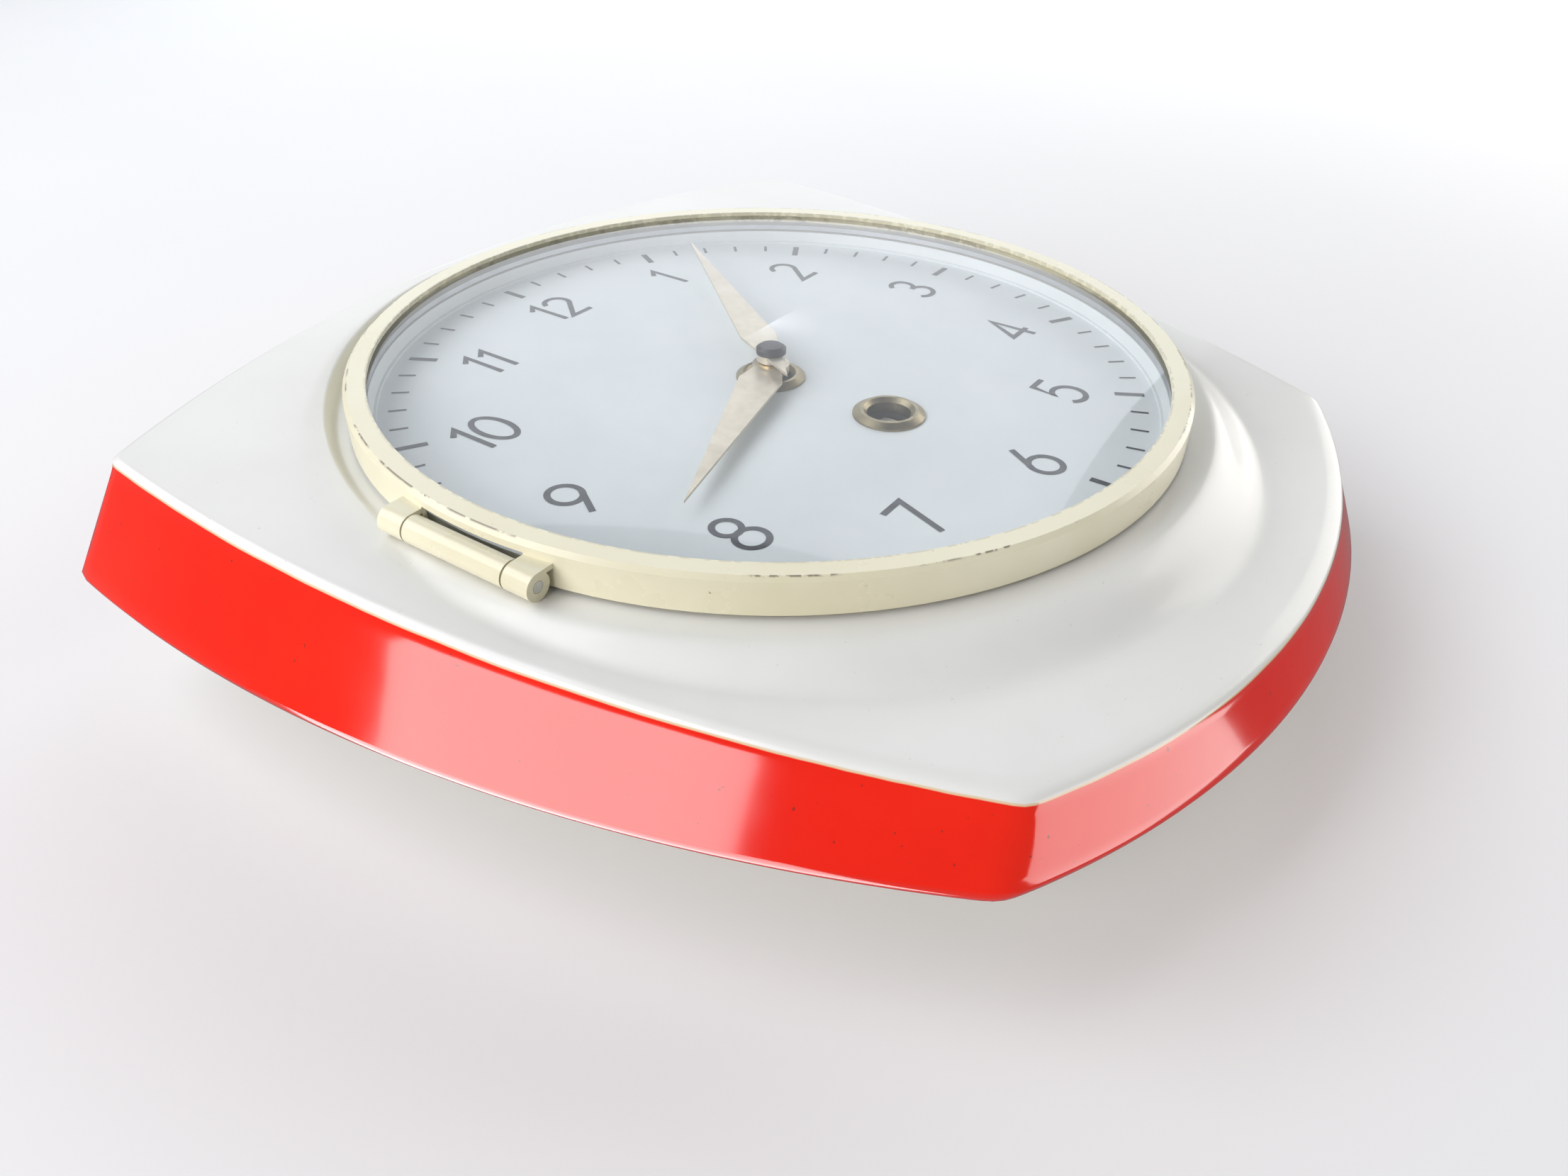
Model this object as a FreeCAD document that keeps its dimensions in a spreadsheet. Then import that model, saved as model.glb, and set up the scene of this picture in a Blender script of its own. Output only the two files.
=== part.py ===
import FreeCAD, Part
import math
import os
import re

import Sketcher

# A mechanical kitchen wall clock. Every sub-part is drawn in the clock's own directions: x towards
# three o'clock, y towards twelve, z out of the wall towards the reader, with z = 0 on the wall.
# The placement of each sub-part then stands the clock up: +Z up, the dial facing -Y, and the
# origin in the hanging hole.

Vector = FreeCAD.Vector
OUT = Vector(0, 0, 1)

document = FreeCAD.newDocument("wall_clock")
sheet = document.addObject("Spreadsheet::Sheet", "sizes")
sheet_rows = {}
sub_parts = []


# ---------------------------------------------------------------- sizes

def size(alias, value, note):
    """Write one named size, or a formula of earlier ones, into the spreadsheet."""
    row = len(sheet_rows) + 1
    sheet.set("A%d" % row, note)
    sheet.set("B%d" % row, "=" + value if isinstance(value, str) else "%.9g" % value)
    sheet.setAlias("B%d" % row, alias)
    sheet_rows[alias] = value


def bound(text):
    """Turn the words of a formula that are sizes into references to the spreadsheet."""
    def reference(match):
        word = match.group(0)
        return "sizes." + word if word in sheet_rows else word
    return re.sub(r"[a-z_]+", reference, str(text))


def number(text):
    """The value of a formula of sizes, for geometry that is worked out in code."""
    return float(worked_out(str(text)))


def worked_out(text):
    result = sheet.evalExpression(bound(text))
    return getattr(result, "Value", result)


# Case: the outline is a rounded shield, mirrored left to right. Corner places are those of the
# sharp corners before rounding. The rim is the widest line, the face edge is where the coloured
# band meets the white face, and the face leans back towards six o'clock.
size("rim_top_half", 98.2, "rim: half width between the upper corners")
size("rim_top_y", 69.5, "rim: height of the upper corners above the dial centre")
size("rim_low_half", 71.2, "rim: half width between the lower corners")
size("rim_low_y", 84.6, "rim: drop of the lower corners below the dial centre")
size("rim_crest", 19.8, "rim: rise of the top side above its corners")
size("rim_keel", 19.8, "rim: drop of the bottom side below its corners")
size("rim_bulge", 12.0, "rim: bulge of the left and right sides")
size("rim_z", 22.0, "height of the rim above the wall")
size("rim_lip", 3.2, "straight lip below the rim")
size("lip_inset", 1.9, "inset of the lip's lower edge from the rim")
size("corner_round", 5.0, "rounding of the four corners")
size("band_top_run", 7.8, "inward run of the band at the upper corners, sideways")
size("band_top_rise", 6.7, "inward run of the band along the top side")
size("band_low_run", 5.8, "inward run of the band at the lower corners, sideways")
size("band_low_rise", 1.3, "rise of the face's lower corners above the rim's")
size("band_keel_cut", 2.8, "how much flatter the face's bottom side is than the rim's")
size("band_crest_cut", 1.3, "how much flatter the face's top side is than the rim's")
size("band_bulge_cut", 2.4, "how much flatter the face's left and right sides are than the rim's")
size("face_z", 38.6, "height of the face plane over the dial centre")
size("face_tilt", 3.6, "lean of the face plane, degrees")
size("wall", 6.0, "thickness of the ceramic")
size("seat_radius", 80.4, "radius of the flat seat round the bezel")
size("seat_z", "face_z + 0.8", "height of the seat")
size("seat_flank", 7.0, "radial run and height of the sloping flank of the seat")
size("recess_radius", "seat_radius - 4.5", "radius of the recess where the face rises above the seat")
size("recess_draft", 4.5, "outward lean of the recess's wall")
size("ledge_z", "seat_z - 8.4", "underside of the ledge that carries the dial ring")
size("pocket_radius", "seat_radius - 7.5", "radius of the step that the support ring lies in")
size("mouth_radius", "seat_radius - 14.4", "radius of the round opening through the ledge")
size("collar_inset", 25.0, "inset of the back collar from the rim")
size("collar_round", 12.0, "rounding of the collar's corners")
size("web_reach", 16.0, "reach of the hanging web below the top of the collar")
size("web_thick", 5.0, "thickness of the hanging web")

# Front: support ring, dial, inner ring, bezel and glass
size("sheet_metal", 0.8, "thickness of the pressed steel rings")
size("ring_z", "seat_z - 2.2", "underside of the support ring")
size("ring_inner", "mouth_radius - 6", "inner radius of the support ring")
size("ring_radius", "pocket_radius - 0.2", "outer radius of the support ring")
size("ring_top", "ring_z + 4.4", "top of the support ring's upstand")
size("dial_thick", 0.6, "thickness of the dial")
size("dial_gap", 0.3, "gap between the dial's edge and the upstand")
size("chapter_lip", "ring_radius - 2.8", "inner radius of the inner ring at the dial")
size("chapter_wall", 0.5, "thickness of the inner ring")
size("bezel_radius", "seat_radius - 6.1", "outer radius of the bezel")
size("bezel_lip", "bezel_radius - 3.8", "inner radius of the bezel")
size("bezel_top", "ring_z + 9", "height of the bezel's flat face")
size("bezel_foot", "seat_z + 0.7", "height of the bezel's lower edge")
size("bezel_round", 0.7, "rounding of the bezel's outer edge")
size("glass_radius", "bezel_radius - 1.4", "radius of the glass")
size("glass_thick", 2.0, "thickness of the glass")
size("glass_rise", 4.6, "rise of the glass at its middle")
size("glass_drop",
     "0.02 + (glass_radius ^ 2 - bezel_lip ^ 2) * glass_rise / (glass_radius ^ 2 + glass_rise ^ 2)",
     "gap at the glass's edge, where the dome meets the bezel's lip")
size("glass_ring_inner", "bezel_radius - 3.2", "inner radius of the ring that holds the glass")
size("glass_ring_depth", 1.0, "depth of the ring that holds the glass")
size("hinge_x", "bezel_radius + 1.6", "distance of the hinge line from the dial centre")
size("hinge_z", "ring_top + 0.3", "height of the hinge line")
size("knuckle_radius", 2.2, "outer radius of the hinge knuckles")
size("pin_radius", 0.9, "radius of the hinge pin")
size("hinge_play", 0.05, "radial clearance of the hinge pin")
size("knuckle_half", 9.7, "half length of the fixed knuckle")
size("knuckle_gap", 0.35, "gap between fixed and moving knuckles")
size("ear_length", 4.8, "length of each moving knuckle")
size("thumb_reach", 2.2, "reach of the thumb piece past the bezel")
size("thumb_half", 3.2, "half width of the thumb piece")

# Dial furniture and hands
size("winder_drop", 25.2, "winding arbor below the dial centre")
size("eyelet_radius", 6.4, "flange radius of the brass eyelets")
size("eyelet_bore", 3.9, "bore radius of the brass eyelets")
size("eyelet_height", 1.1, "height of the eyelet flange above the dial")
size("eyelet_depth", 1.4, "depth of the eyelet barrel behind the dial")
size("hour_reach", 50.0, "length of the hour hand")
size("hour_half", 4.0, "half width of the hour hand")
size("hour_belly", 7.0, "distance of the hour hand's widest place from its centre")
size("hour_tail", 6.5, "tail of the hour hand")
size("minute_reach", 60.0, "length of the minute hand")
size("minute_half", 3.4, "half width of the minute hand")
size("minute_belly", 8.0, "distance of the minute hand's widest place from its centre")
size("minute_tail", 9.6, "tail of the minute hand")
size("hand_thick", 0.5, "thickness of the hands")
size("hour_hand_z", "ring_z + 4.2", "underside of the hour hand")
size("minute_hand_z", "ring_z + 6.3", "underside of the minute hand")
size("hour_angle", 250.2, "hour hand at rest, degrees clockwise from twelve")
size("minute_angle", 37.7, "minute hand at rest, degrees clockwise from twelve")
size("cap_radius", 2.75, "radius of the hand cap nut")
size("cap_top", "ring_z + 8.2", "top of the hand cap nut")

# Movement: plates, posts and cover. The plates are round about a point below the dial centre.
size("plate_drop", 12.0, "centre of the movement plates below the dial centre")
size("plate_radius", 38.0, "radius of the movement plates")
size("plate_thick", 1.2, "thickness of the movement plates")
size("front_plate_z", "ring_z - 9.2", "underside of the front plate")
size("back_plate_z", "front_plate_z - 18", "underside of the back plate")
size("mount_plate_z", "ring_z - 1", "underside of the mounting plate")
size("mount_plate_thick", 1.0, "thickness of the mounting plate")
size("mount_plate_radius", "mouth_radius - 0.8", "radius of the mounting plate")
size("post_radius", 2.5, "radius of the posts and pillars")
size("thread_radius", 1.2, "radius of the small screws")
size("screw_play", 0.2, "clearance of screws in their holes")
size("screw_circle", "pocket_radius - 3.6", "radius of the circle of case screws")
size("washer_sink", 0.3, "depth of the ground seats of the washers")
size("rivet_circle", "pocket_radius - 10.3", "radius of the circle of rivets")
size("case_screw_radius", 1.5, "radius of the case screws")
size("cover_radius", 44.0, "radius of the dust cover")
size("cover_floor", "back_plate_z - 7.4", "outer face of the dust cover's floor")
size("cover_wall", 0.6, "thickness of the dust cover")
size("cover_flange", 5.0, "width of the dust cover's flange")
size("pivot_radius", 0.55, "radius of the arbor pivots")
size("arbor_radius", 0.9, "radius of the train arbors")
size("pivot_play", 0.06, "radial clearance of the pivots")
size("end_shake", 0.3, "end play of the arbors between the plates")

# Gear train: tooth counts and modules
size("great_teeth", 72, "teeth of the great wheel on the barrel")
size("second_leaves", 12, "leaves of the second pinion")
size("great_module", 0.6, "module of the great wheel")
size("second_teeth", 60, "teeth of the second wheel")
size("centre_leaves", 12, "leaves of the centre pinion")
size("second_module", 0.4, "module of the second wheel")
size("centre_teeth", 64, "teeth of the centre wheel")
size("third_leaves", 8, "leaves of the third pinion")
size("centre_module", 0.4, "module of the centre wheel")
size("third_teeth", 60, "teeth of the third wheel")
size("fourth_leaves", 8, "leaves of the fourth pinion")
size("third_module", 0.35, "module of the third wheel")
size("fourth_teeth", 64, "teeth of the fourth wheel")
size("escape_leaves", 8, "leaves of the escape pinion")
size("fourth_module", 0.3, "module of the fourth wheel")
size("cannon_leaves", 12, "leaves of the cannon pinion")
size("minute_wheel_teeth", 36, "teeth of the minute wheel")
size("cannon_module", 0.5, "module of the cannon pinion")
size("minute_leaves", 10, "leaves of the minute wheel's pinion")
size("hour_teeth", 40, "teeth of the hour wheel")
size("escape_teeth", 15, "teeth of the escape wheel")
size("ratchet_teeth", 24, "teeth of the ratchet wheel")
size("escape_radius", 5.2, "tip radius of the escape wheel")
size("ratchet_radius", 7.2, "tip radius of the ratchet wheel")
size("third_bearing", 20.0, "direction of the third arbor from the centre, degrees")
size("fourth_bearing", 110.0, "direction of the fourth arbor from the third, degrees")
size("escape_bearing", 180.0, "direction of the escape arbor from the fourth, degrees")
size("pallet_span", 7.6, "distance of the pallet arbor from the escape arbor")
size("balance_span", 11.5, "distance of the balance staff from the pallet arbor")
size("balance_bearing", 205.0, "direction of the balance staff from the pallet arbor, degrees")
size("minute_wheel_bearing", 30.0, "direction of the minute wheel from the centre, degrees")
size("balance_radius", 9.5, "radius of the balance wheel")
size("barrel_radius", 19.4, "radius of the spring barrel")
size("barrel_low", "front_plate_z - 14.6", "lower face of the spring barrel")
size("barrel_high", "barrel_low + 9", "upper face of the spring barrel")
size("winder_radius", 2.6, "radius of the winding arbor")
size("square_half", 1.75, "half width of the winding square")
size("hang_drop", 52.0, "hanging hole above the dial centre")
size("hang_radius", 3.2, "radius of the hanging hole")

# Levels of the wheels between the plates
size("wheel_thick", 0.8, "thickness of the train wheels")
size("second_wheel_z", "front_plate_z - 1.9", "underside of the second wheel")
size("centre_wheel_z", "front_plate_z - 4.5", "underside of the centre wheel")
size("third_wheel_z", "front_plate_z - 10", "underside of the third wheel")
size("fourth_wheel_z", "front_plate_z - 14", "underside of the fourth wheel")
size("escape_wheel_z", "front_plate_z - 9.4", "underside of the escape wheel and the pallet fork")
size("balance_wheel_z", "front_plate_z - 7.4", "underside of the balance wheel")
size("hairspring_z", "front_plate_z - 14.8", "underside of the hairspring")
size("pinion_face", 1.6, "face width of the pinions")
size("cannon_z", 30.2, "underside of the cannon pinion")
size("hour_wheel_z", 33.3, "underside of the hour wheel")
document.recompute()


def polar(start, distance, degrees):
    angle = math.radians(degrees)
    return (start[0] + distance * math.cos(angle), start[1] + distance * math.sin(angle))


def crossing(first, first_distance, second, second_distance):
    """The point at given distances from two points, on the left of the line between them."""
    gap = math.dist(first, second)
    along = (first_distance ** 2 - second_distance ** 2 + gap ** 2) / (2 * gap)
    aside = math.sqrt(first_distance ** 2 - along ** 2)
    unit = ((second[0] - first[0]) / gap, (second[1] - first[1]) / gap)
    return (first[0] + along * unit[0] - aside * unit[1],
            first[1] + along * unit[1] + aside * unit[0])


def mesh_distance(module, wheel, pinion):
    return number("%s * (%s + %s) / 2" % (module, wheel, pinion))


def work_out_arbors():
    """The arbor places follow from the tooth counts, modules and bearings."""
    centre = (0.0, 0.0)
    barrel = (0.0, -number("winder_drop"))
    second = crossing(barrel, mesh_distance("great_module", "great_teeth", "second_leaves"),
                      centre, mesh_distance("second_module", "second_teeth", "centre_leaves"))
    third = polar(centre, mesh_distance("centre_module", "centre_teeth", "third_leaves"),
                  number("third_bearing"))
    fourth = polar(third, mesh_distance("third_module", "third_teeth", "fourth_leaves"),
                   number("fourth_bearing"))
    escape = polar(fourth, mesh_distance("fourth_module", "fourth_teeth", "escape_leaves"),
                   number("escape_bearing"))
    pallet = polar(escape, number("pallet_span"), 180)
    balance = polar(pallet, number("balance_span"), number("balance_bearing"))
    minute = polar(centre, mesh_distance("cannon_module", "cannon_leaves", "minute_wheel_teeth"),
                   number("minute_wheel_bearing"))
    return {"centre": centre, "barrel": barrel, "second": second, "third": third,
            "fourth": fourth, "escape": escape, "pallet": pallet, "balance": balance,
            "minute": minute}


arbors = work_out_arbors()
for arbor_name, (arbor_x, arbor_y) in arbors.items():
    size(arbor_name + "_arbor_x", arbor_x, "worked out: %s arbor, x" % arbor_name)
    size(arbor_name + "_arbor_y", arbor_y, "worked out: %s arbor, y" % arbor_name)
document.recompute()

PILLAR_SPOTS = [(31, 2), (-6, 22.8), (-33, -8), (-22, -39), (22, -39)]
POST_SPOTS = [(14.5, 20), (-30, -24), (30, -24)]
for spots, kind in ((PILLAR_SPOTS, "pillar"), (POST_SPOTS, "post")):
    for place, letter in zip(spots, "abcde"):
        size("%s_%s_x" % (kind, letter), place[0], "%s %s, x" % (kind, letter))
        size("%s_%s_y" % (kind, letter), place[1], "%s %s, y" % (kind, letter))
document.recompute()
PILLARS = [("pillar_%s_x" % c, "pillar_%s_y" % c) for c in "abcde"]
POSTS = [("post_%s_x" % c, "post_%s_y" % c) for c in "abc"]
WINDER = ("0", "-winder_drop")


def around(centre_y, radius, first_degrees, count=3):
    """Formulas of places evenly spaced on a circle about (0, centre_y)."""
    step = 360.0 / count
    return [("%s * cos(%g)" % (radius, first_degrees + step * k),
             "%s + %s * sin(%g)" % (centre_y, radius, first_degrees + step * k))
            for k in range(count)]


CASE_SCREWS = around("0", "screw_circle", 90)
RIVETS = around("0", "rivet_circle", 90)
COVER_SCREWS = around("-plate_drop", "(cover_radius + 2.6)", 90)


# ---------------------------------------------------------------- drawing helpers

def bind(item, path, text):
    item.setExpression(path, bound(text))


def new_body(label):
    body = document.addObject("PartDesign::Body", label)
    body.Label = label
    body.AllowCompound = True
    sub_parts.append(body)
    return body


# The hanging hole's middle, measured out from the wall.
HANG_LEVEL = "(web_thick + plate_thick / 2)"


def stand_up(item, x="0", y="0", turn="0"):
    """Place a sub-part: its own z points out of the wall, turned clockwise as the reader sees."""
    upright = FreeCAD.Rotation(Vector(1, 0, 0), 90)
    spin = FreeCAD.Rotation(OUT, -number(turn))
    base = Vector(number(x), number(HANG_LEVEL), number("%s - hang_drop" % y))
    item.Placement = FreeCAD.Placement(base, upright * spin)
    if hasattr(item, "Group") or item.TypeId != "Part::Feature":
        bind(item, "Placement.Base.x", x)
        bind(item, "Placement.Base.y", HANG_LEVEL)
        bind(item, "Placement.Base.z", "%s - hang_drop" % y)


def new_sketch(body, plane="XY_Plane", x="0", y="0", z="0"):
    sketch = body.newObject("Sketcher::SketchObject", body.Label + "_sketch")
    origin = [feature for feature in body.Origin.OriginFeatures if feature.Role == plane][0]
    sketch.AttachmentSupport = [(origin, "")]
    sketch.MapMode = "FlatFace"
    for axis, text in zip("xyz", (x, y, z)):
        bind(sketch, "AttachmentOffset.Base." + axis, text)
    return sketch


def hold_point(sketch, geometry, end, x, y):
    """Fix one point of a sketch at (x, y), two formulas."""
    for kind, axis, text in (("DistanceX", -2, x), ("DistanceY", -1, y)):
        if text == "0":
            sketch.addConstraint(Sketcher.Constraint("PointOnObject", geometry, end, axis))
        else:
            index = sketch.addConstraint(
                Sketcher.Constraint(kind, -1, 1, geometry, end, number(text)))
            bind(sketch, "Constraints[%d]" % index, text)


def hold_radius(sketch, geometry, text):
    index = sketch.addConstraint(Sketcher.Constraint("Radius", geometry, number(text)))
    bind(sketch, "Constraints[%d]" % index, text)


def draw_circle(sketch, x, y, radius):
    circle = Part.Circle(Vector(number(x), number(y), 0), OUT, number(radius))
    index = sketch.addGeometry(circle)
    hold_point(sketch, index, 3, x, y)
    hold_radius(sketch, index, radius)


def draw_polygon(sketch, points):
    """A closed outline of straight lines; each point is a pair of formulas."""
    places = [Vector(number(x), number(y), 0) for x, y in points]
    lines = []
    for start, end in zip(places, places[1:] + places[:1]):
        lines.append(sketch.addGeometry(Part.LineSegment(start, end)))
    for line, following in zip(lines, lines[1:] + lines[:1]):
        sketch.addConstraint(Sketcher.Constraint("Coincident", line, 2, following, 1))
    for line, (x, y) in zip(lines, points):
        hold_point(sketch, line, 1, x, y)


def add_feature(body, kind, sketch, **settings):
    feature = body.newObject("PartDesign::" + kind, body.Label + "_" + kind.lower())
    feature.Profile = sketch
    sketch.Visibility = False
    for name, value in settings.items():
        setattr(feature, name, value)
    return feature


def add_pad(body, sketch, length, **settings):
    pad = add_feature(body, "Pad", sketch, **settings)
    bind(pad, "Length", length)
    return pad


def add_pocket(body, sketch, length, **settings):
    """Cut along the sketch's normal, and make sure that something was cut."""
    document.recompute()
    before = body.Shape.Volume
    pocket = add_feature(body, "Pocket", sketch, **settings)
    bind(pocket, "Length", length)
    document.recompute()
    if body.Shape.Volume > before - 1e-6:
        raise RuntimeError("a pocket cuts nothing in " + body.Label)
    return pocket


def add_turning(body, points, x="0", y="0", kind="Revolution"):
    """Turn an outline of (radius, height) formulas about an axis through (x, y)."""
    sketch = new_sketch(body, "XZ_Plane", x, "0", "-(%s)" % y)
    draw_polygon(sketch, points)
    return add_feature(body, kind, sketch, ReferenceAxis=(sketch, ["V_Axis"]), Angle=360.0)


def turned(label, points, spots=(("0", "0"),)):
    """A sub-part turned on a lathe, once at each of its places."""
    body = new_body(label)
    for x, y in spots:
        add_turning(body, points, x, y)
    stand_up(body)
    return body


def stepped(*steps):
    """The outline of a solid of cylinders on one axis, from (radius, low, high) formulas."""
    points = [("0", steps[0][1])]
    for radius, low, high in steps:
        points += [(radius, low), (radius, high)]
    points.append(("0", steps[-1][2]))
    return points


def tube(inner, outer, low, high):
    return [(inner, low), (outer, low), (outer, high), (inner, high)]


def disc(label, radius, low, thickness, centre=("0", "0"), holes=()):
    """A flat round plate with round holes, each (x, y, radius)."""
    body = new_body(label)
    sketch = new_sketch(body, z=low)
    draw_circle(sketch, centre[0], centre[1], radius)
    for x, y, hole in holes:
        draw_circle(sketch, x, y, hole)
    add_pad(body, sketch, thickness)
    stand_up(body)
    return body


def computed(label, shape):
    """A sub-part whose outline comes from a formula: a toothed wheel or a wound spring."""
    feature = document.addObject("Part::Feature", label)
    feature.Label = label
    feature.Shape = shape
    stand_up(feature)
    sub_parts.append(feature)
    return feature


def cylinder(x, y, radius, low, high):
    return Part.makeCylinder(number(radius), number(high) - number(low),
                             Vector(number(x), number(y), number(low)))


# ---------------------------------------------------------------- shield outlines

def circles_meet(first, first_radius, second, second_radius, near):
    """The crossing of two circles that lies nearest to a point."""
    gap = (second - first).Length
    along = (first_radius ** 2 - second_radius ** 2 + gap ** 2) / (2 * gap)
    aside = math.sqrt(max(first_radius ** 2 - along ** 2, 0))
    unit = (second - first).normalize()
    across = Vector(-unit.y, unit.x, 0)
    answers = [first + unit * along + across * aside, first + unit * along - across * aside]
    return min(answers, key=lambda answer: (answer - near).Length)


def shield_sides(top_half, top_y, low_half, low_y, crest, keel, bulge):
    """Formulas of (centre x, centre y, radius) of the top, left, bottom and right sides."""
    top_radius = "((%s)^2 + (%s)^2) / (2 * (%s))" % (top_half, crest, crest)
    low_radius = "((%s)^2 + (%s)^2) / (2 * (%s))" % (low_half, keel, keel)
    chord = "sqrt(((%s) - (%s))^2 + ((%s) + (%s))^2)" % (top_half, low_half, top_y, low_y)
    side_radius = "((%s)^2 / 4 + (%s)^2) / (2 * (%s))" % (chord, bulge, bulge)
    inward = "(%s - (%s)) / (%s)" % (side_radius, bulge, chord)
    side_x = "((%s) + (%s)) / 2 - ((%s) + (%s)) * %s" % (top_half, low_half, top_y, low_y, inward)
    side_y = "((%s) - (%s)) / 2 + ((%s) - (%s)) * %s" % (top_y, low_y, top_half, low_half, inward)
    return [("0", "(%s) + (%s) - %s" % (top_y, crest, top_radius), top_radius),
            ("-(%s)" % side_x, side_y, side_radius),
            ("0", "%s - (%s) - (%s)" % (low_radius, low_y, keel), low_radius),
            (side_x, side_y, side_radius)]


def draw_shield(sketch, outline, inset, rounding):
    """Four bulging sides, moved inwards and joined by four tangent corner arcs."""
    top_half, top_y, low_half, low_y = outline[:4]
    sides = [(x, y, "%s - %s" % (radius, inset)) for x, y, radius in shield_sides(*outline)]
    centres = [Vector(number(x), number(y), 0) for x, y, _ in sides]
    radii = [number(radius) for _, _, radius in sides]
    small = number(rounding)
    corners = [Vector(number(top_half), number(top_y), 0), Vector(-number(top_half), number(top_y), 0),
               Vector(-number(low_half), -number(low_y), 0), Vector(number(low_half), -number(low_y), 0)]
    hubs = []
    for place, corner in enumerate(corners):
        before, after = place - 1, place
        hubs.append(circles_meet(centres[before], radii[before] - small,
                                 centres[after], radii[after] - small, corner))
    arcs = []
    for place in range(4):
        side_start = heading(centres[place], hubs[place])
        side_end = heading(centres[place], hubs[(place + 1) % 4])
        next_start = heading(centres[(place + 1) % 4], hubs[(place + 1) % 4])
        arcs.append(add_arc(sketch, centres[place], radii[place], side_start, side_end))
        arcs.append(add_arc(sketch, hubs[(place + 1) % 4], small, side_end, next_start))
    for arc, following in zip(arcs, arcs[1:] + arcs[:1]):
        sketch.addConstraint(Sketcher.Constraint("Tangent", arc, 2, following, 1))
    for arc, (x, y, radius) in zip(arcs[::2], sides):
        hold_point(sketch, arc, 3, x, y)
        hold_radius(sketch, arc, radius)
    for arc in arcs[1::2]:
        hold_radius(sketch, arc, rounding)


def heading(origin, target):
    return math.atan2(target.y - origin.y, target.x - origin.x)


def add_arc(sketch, centre, radius, start, end):
    while end < start:
        end += 2 * math.pi
    return sketch.addGeometry(Part.ArcOfCircle(Part.Circle(centre, OUT, radius), start, end))


RIM = ("rim_top_half", "rim_top_y", "rim_low_half", "rim_low_y", "rim_crest", "rim_keel",
       "rim_bulge")
FACE = ("rim_top_half - band_top_run", "rim_top_y - band_top_rise",
        "rim_low_half - band_low_run", "rim_low_y - band_low_rise", "rim_crest - band_crest_cut",
        "rim_keel - band_keel_cut", "rim_bulge - band_bulge_cut")


# ---------------------------------------------------------------- ceramic case

def face_sketch(body, outline, inset, drop, rounding):
    """A shield drawn on the leaning face plane, or on a plane below it."""
    sketch = new_sketch(body, z="face_z - %s" % drop)
    sketch.AttachmentOffset = FreeCAD.Placement(
        sketch.AttachmentOffset.Base, FreeCAD.Rotation(Vector(1, 0, 0), number("face_tilt")))
    bind(sketch, "AttachmentOffset.Rotation.Angle", "face_tilt")
    draw_shield(sketch, outline, inset, rounding)
    return sketch


def flat_sketch(body, outline, inset, z, rounding):
    sketch = new_sketch(body, z=z)
    draw_shield(sketch, outline, inset, rounding)
    return sketch


def ceramic_case():
    body = new_body("ceramic_case")
    lip = flat_sketch(body, RIM, "lip_inset", "rim_z - rim_lip", "corner_round")
    rim = flat_sketch(body, RIM, "0", "rim_z", "corner_round")
    band = face_sketch(body, FACE, "0", "0", "corner_round")
    add_feature(body, "AdditiveLoft", lip, Sections=[rim, band], Ruled=True)
    collar = flat_sketch(body, RIM, "collar_inset", "0", "collar_round")
    add_pad(body, collar, "rim_z - rim_lip + wall / 2")
    opening = flat_sketch(body, RIM, "(collar_inset + wall)", "0", "collar_round - wall")
    add_pocket(body, opening, "rim_z - rim_lip + 1.2 * wall", Reversed=True)
    cavity_foot = flat_sketch(body, RIM, "wall", "rim_z - rim_lip + wall", "wall")
    cavity_head = face_sketch(body, FACE, "wall", "wall", "wall")
    add_feature(body, "SubtractiveLoft", cavity_foot, Sections=[cavity_head], Ruled=True)
    add_turning(body, [("mouth_radius - 2", "ledge_z"), ("seat_radius + seat_flank", "ledge_z"),
                       ("seat_radius + seat_flank", "seat_z - seat_flank"),
                       ("seat_radius", "seat_z"), ("mouth_radius - 2", "seat_z")])
    add_turning(body, [("0", "seat_z"), ("recess_radius", "seat_z"),
                       ("recess_radius + recess_draft", "seat_z + 2 * seat_flank"),
                       ("0", "seat_z + 2 * seat_flank")], kind="Groove")
    mouth = new_sketch(body, z="ledge_z - 2")
    draw_circle(mouth, "0", "0", "mouth_radius")
    add_pocket(body, mouth, "2 * seat_flank", Reversed=True)
    pocket = new_sketch(body, z="ring_z")
    draw_circle(pocket, "0", "0", "pocket_radius")
    add_pocket(body, pocket, "seat_flank", Reversed=True)
    hanging_web(body)
    bolt_holes = new_sketch(body, z="ledge_z - 1")
    for x, y in CASE_SCREWS:
        draw_circle(bolt_holes, x, y, "case_screw_radius + screw_play")
    add_pocket(body, bolt_holes, "seat_flank + 2", Reversed=True)
    washer_seats = new_sketch(body, z="ledge_z - 3")
    for x, y in CASE_SCREWS:
        draw_circle(washer_seats, x, y, "3.8")
    add_pocket(body, washer_seats, "3 + washer_sink", Reversed=True)
    stand_up(body)


def hanging_web(body):
    """A web across the top of the collar, with a wide hole behind the hanging plate's."""
    top = "rim_top_y + rim_crest - collar_inset - wall / 2"
    low = "rim_top_y + rim_crest - collar_inset - wall - web_reach"
    sketch = new_sketch(body, z="0")
    draw_polygon(sketch, [("-30", low), ("30", low), ("30", "%s - 2" % top), ("-30", "%s - 2" % top)])
    add_pad(body, sketch, "web_thick")
    holes = new_sketch(body, z="0")
    draw_circle(holes, "0", "hang_drop", "hang_radius + 3")
    for side in ("-", ""):
        draw_circle(holes, side + "20", "hang_drop", "thread_radius + screw_play")
    add_pocket(body, holes, "web_thick", Reversed=True)
    seats = new_sketch(body, z="0")
    for side in ("-", ""):
        draw_circle(seats, side + "20", "hang_drop", "3.0")
    add_pocket(body, seats, "2.2", Reversed=True)


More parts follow.
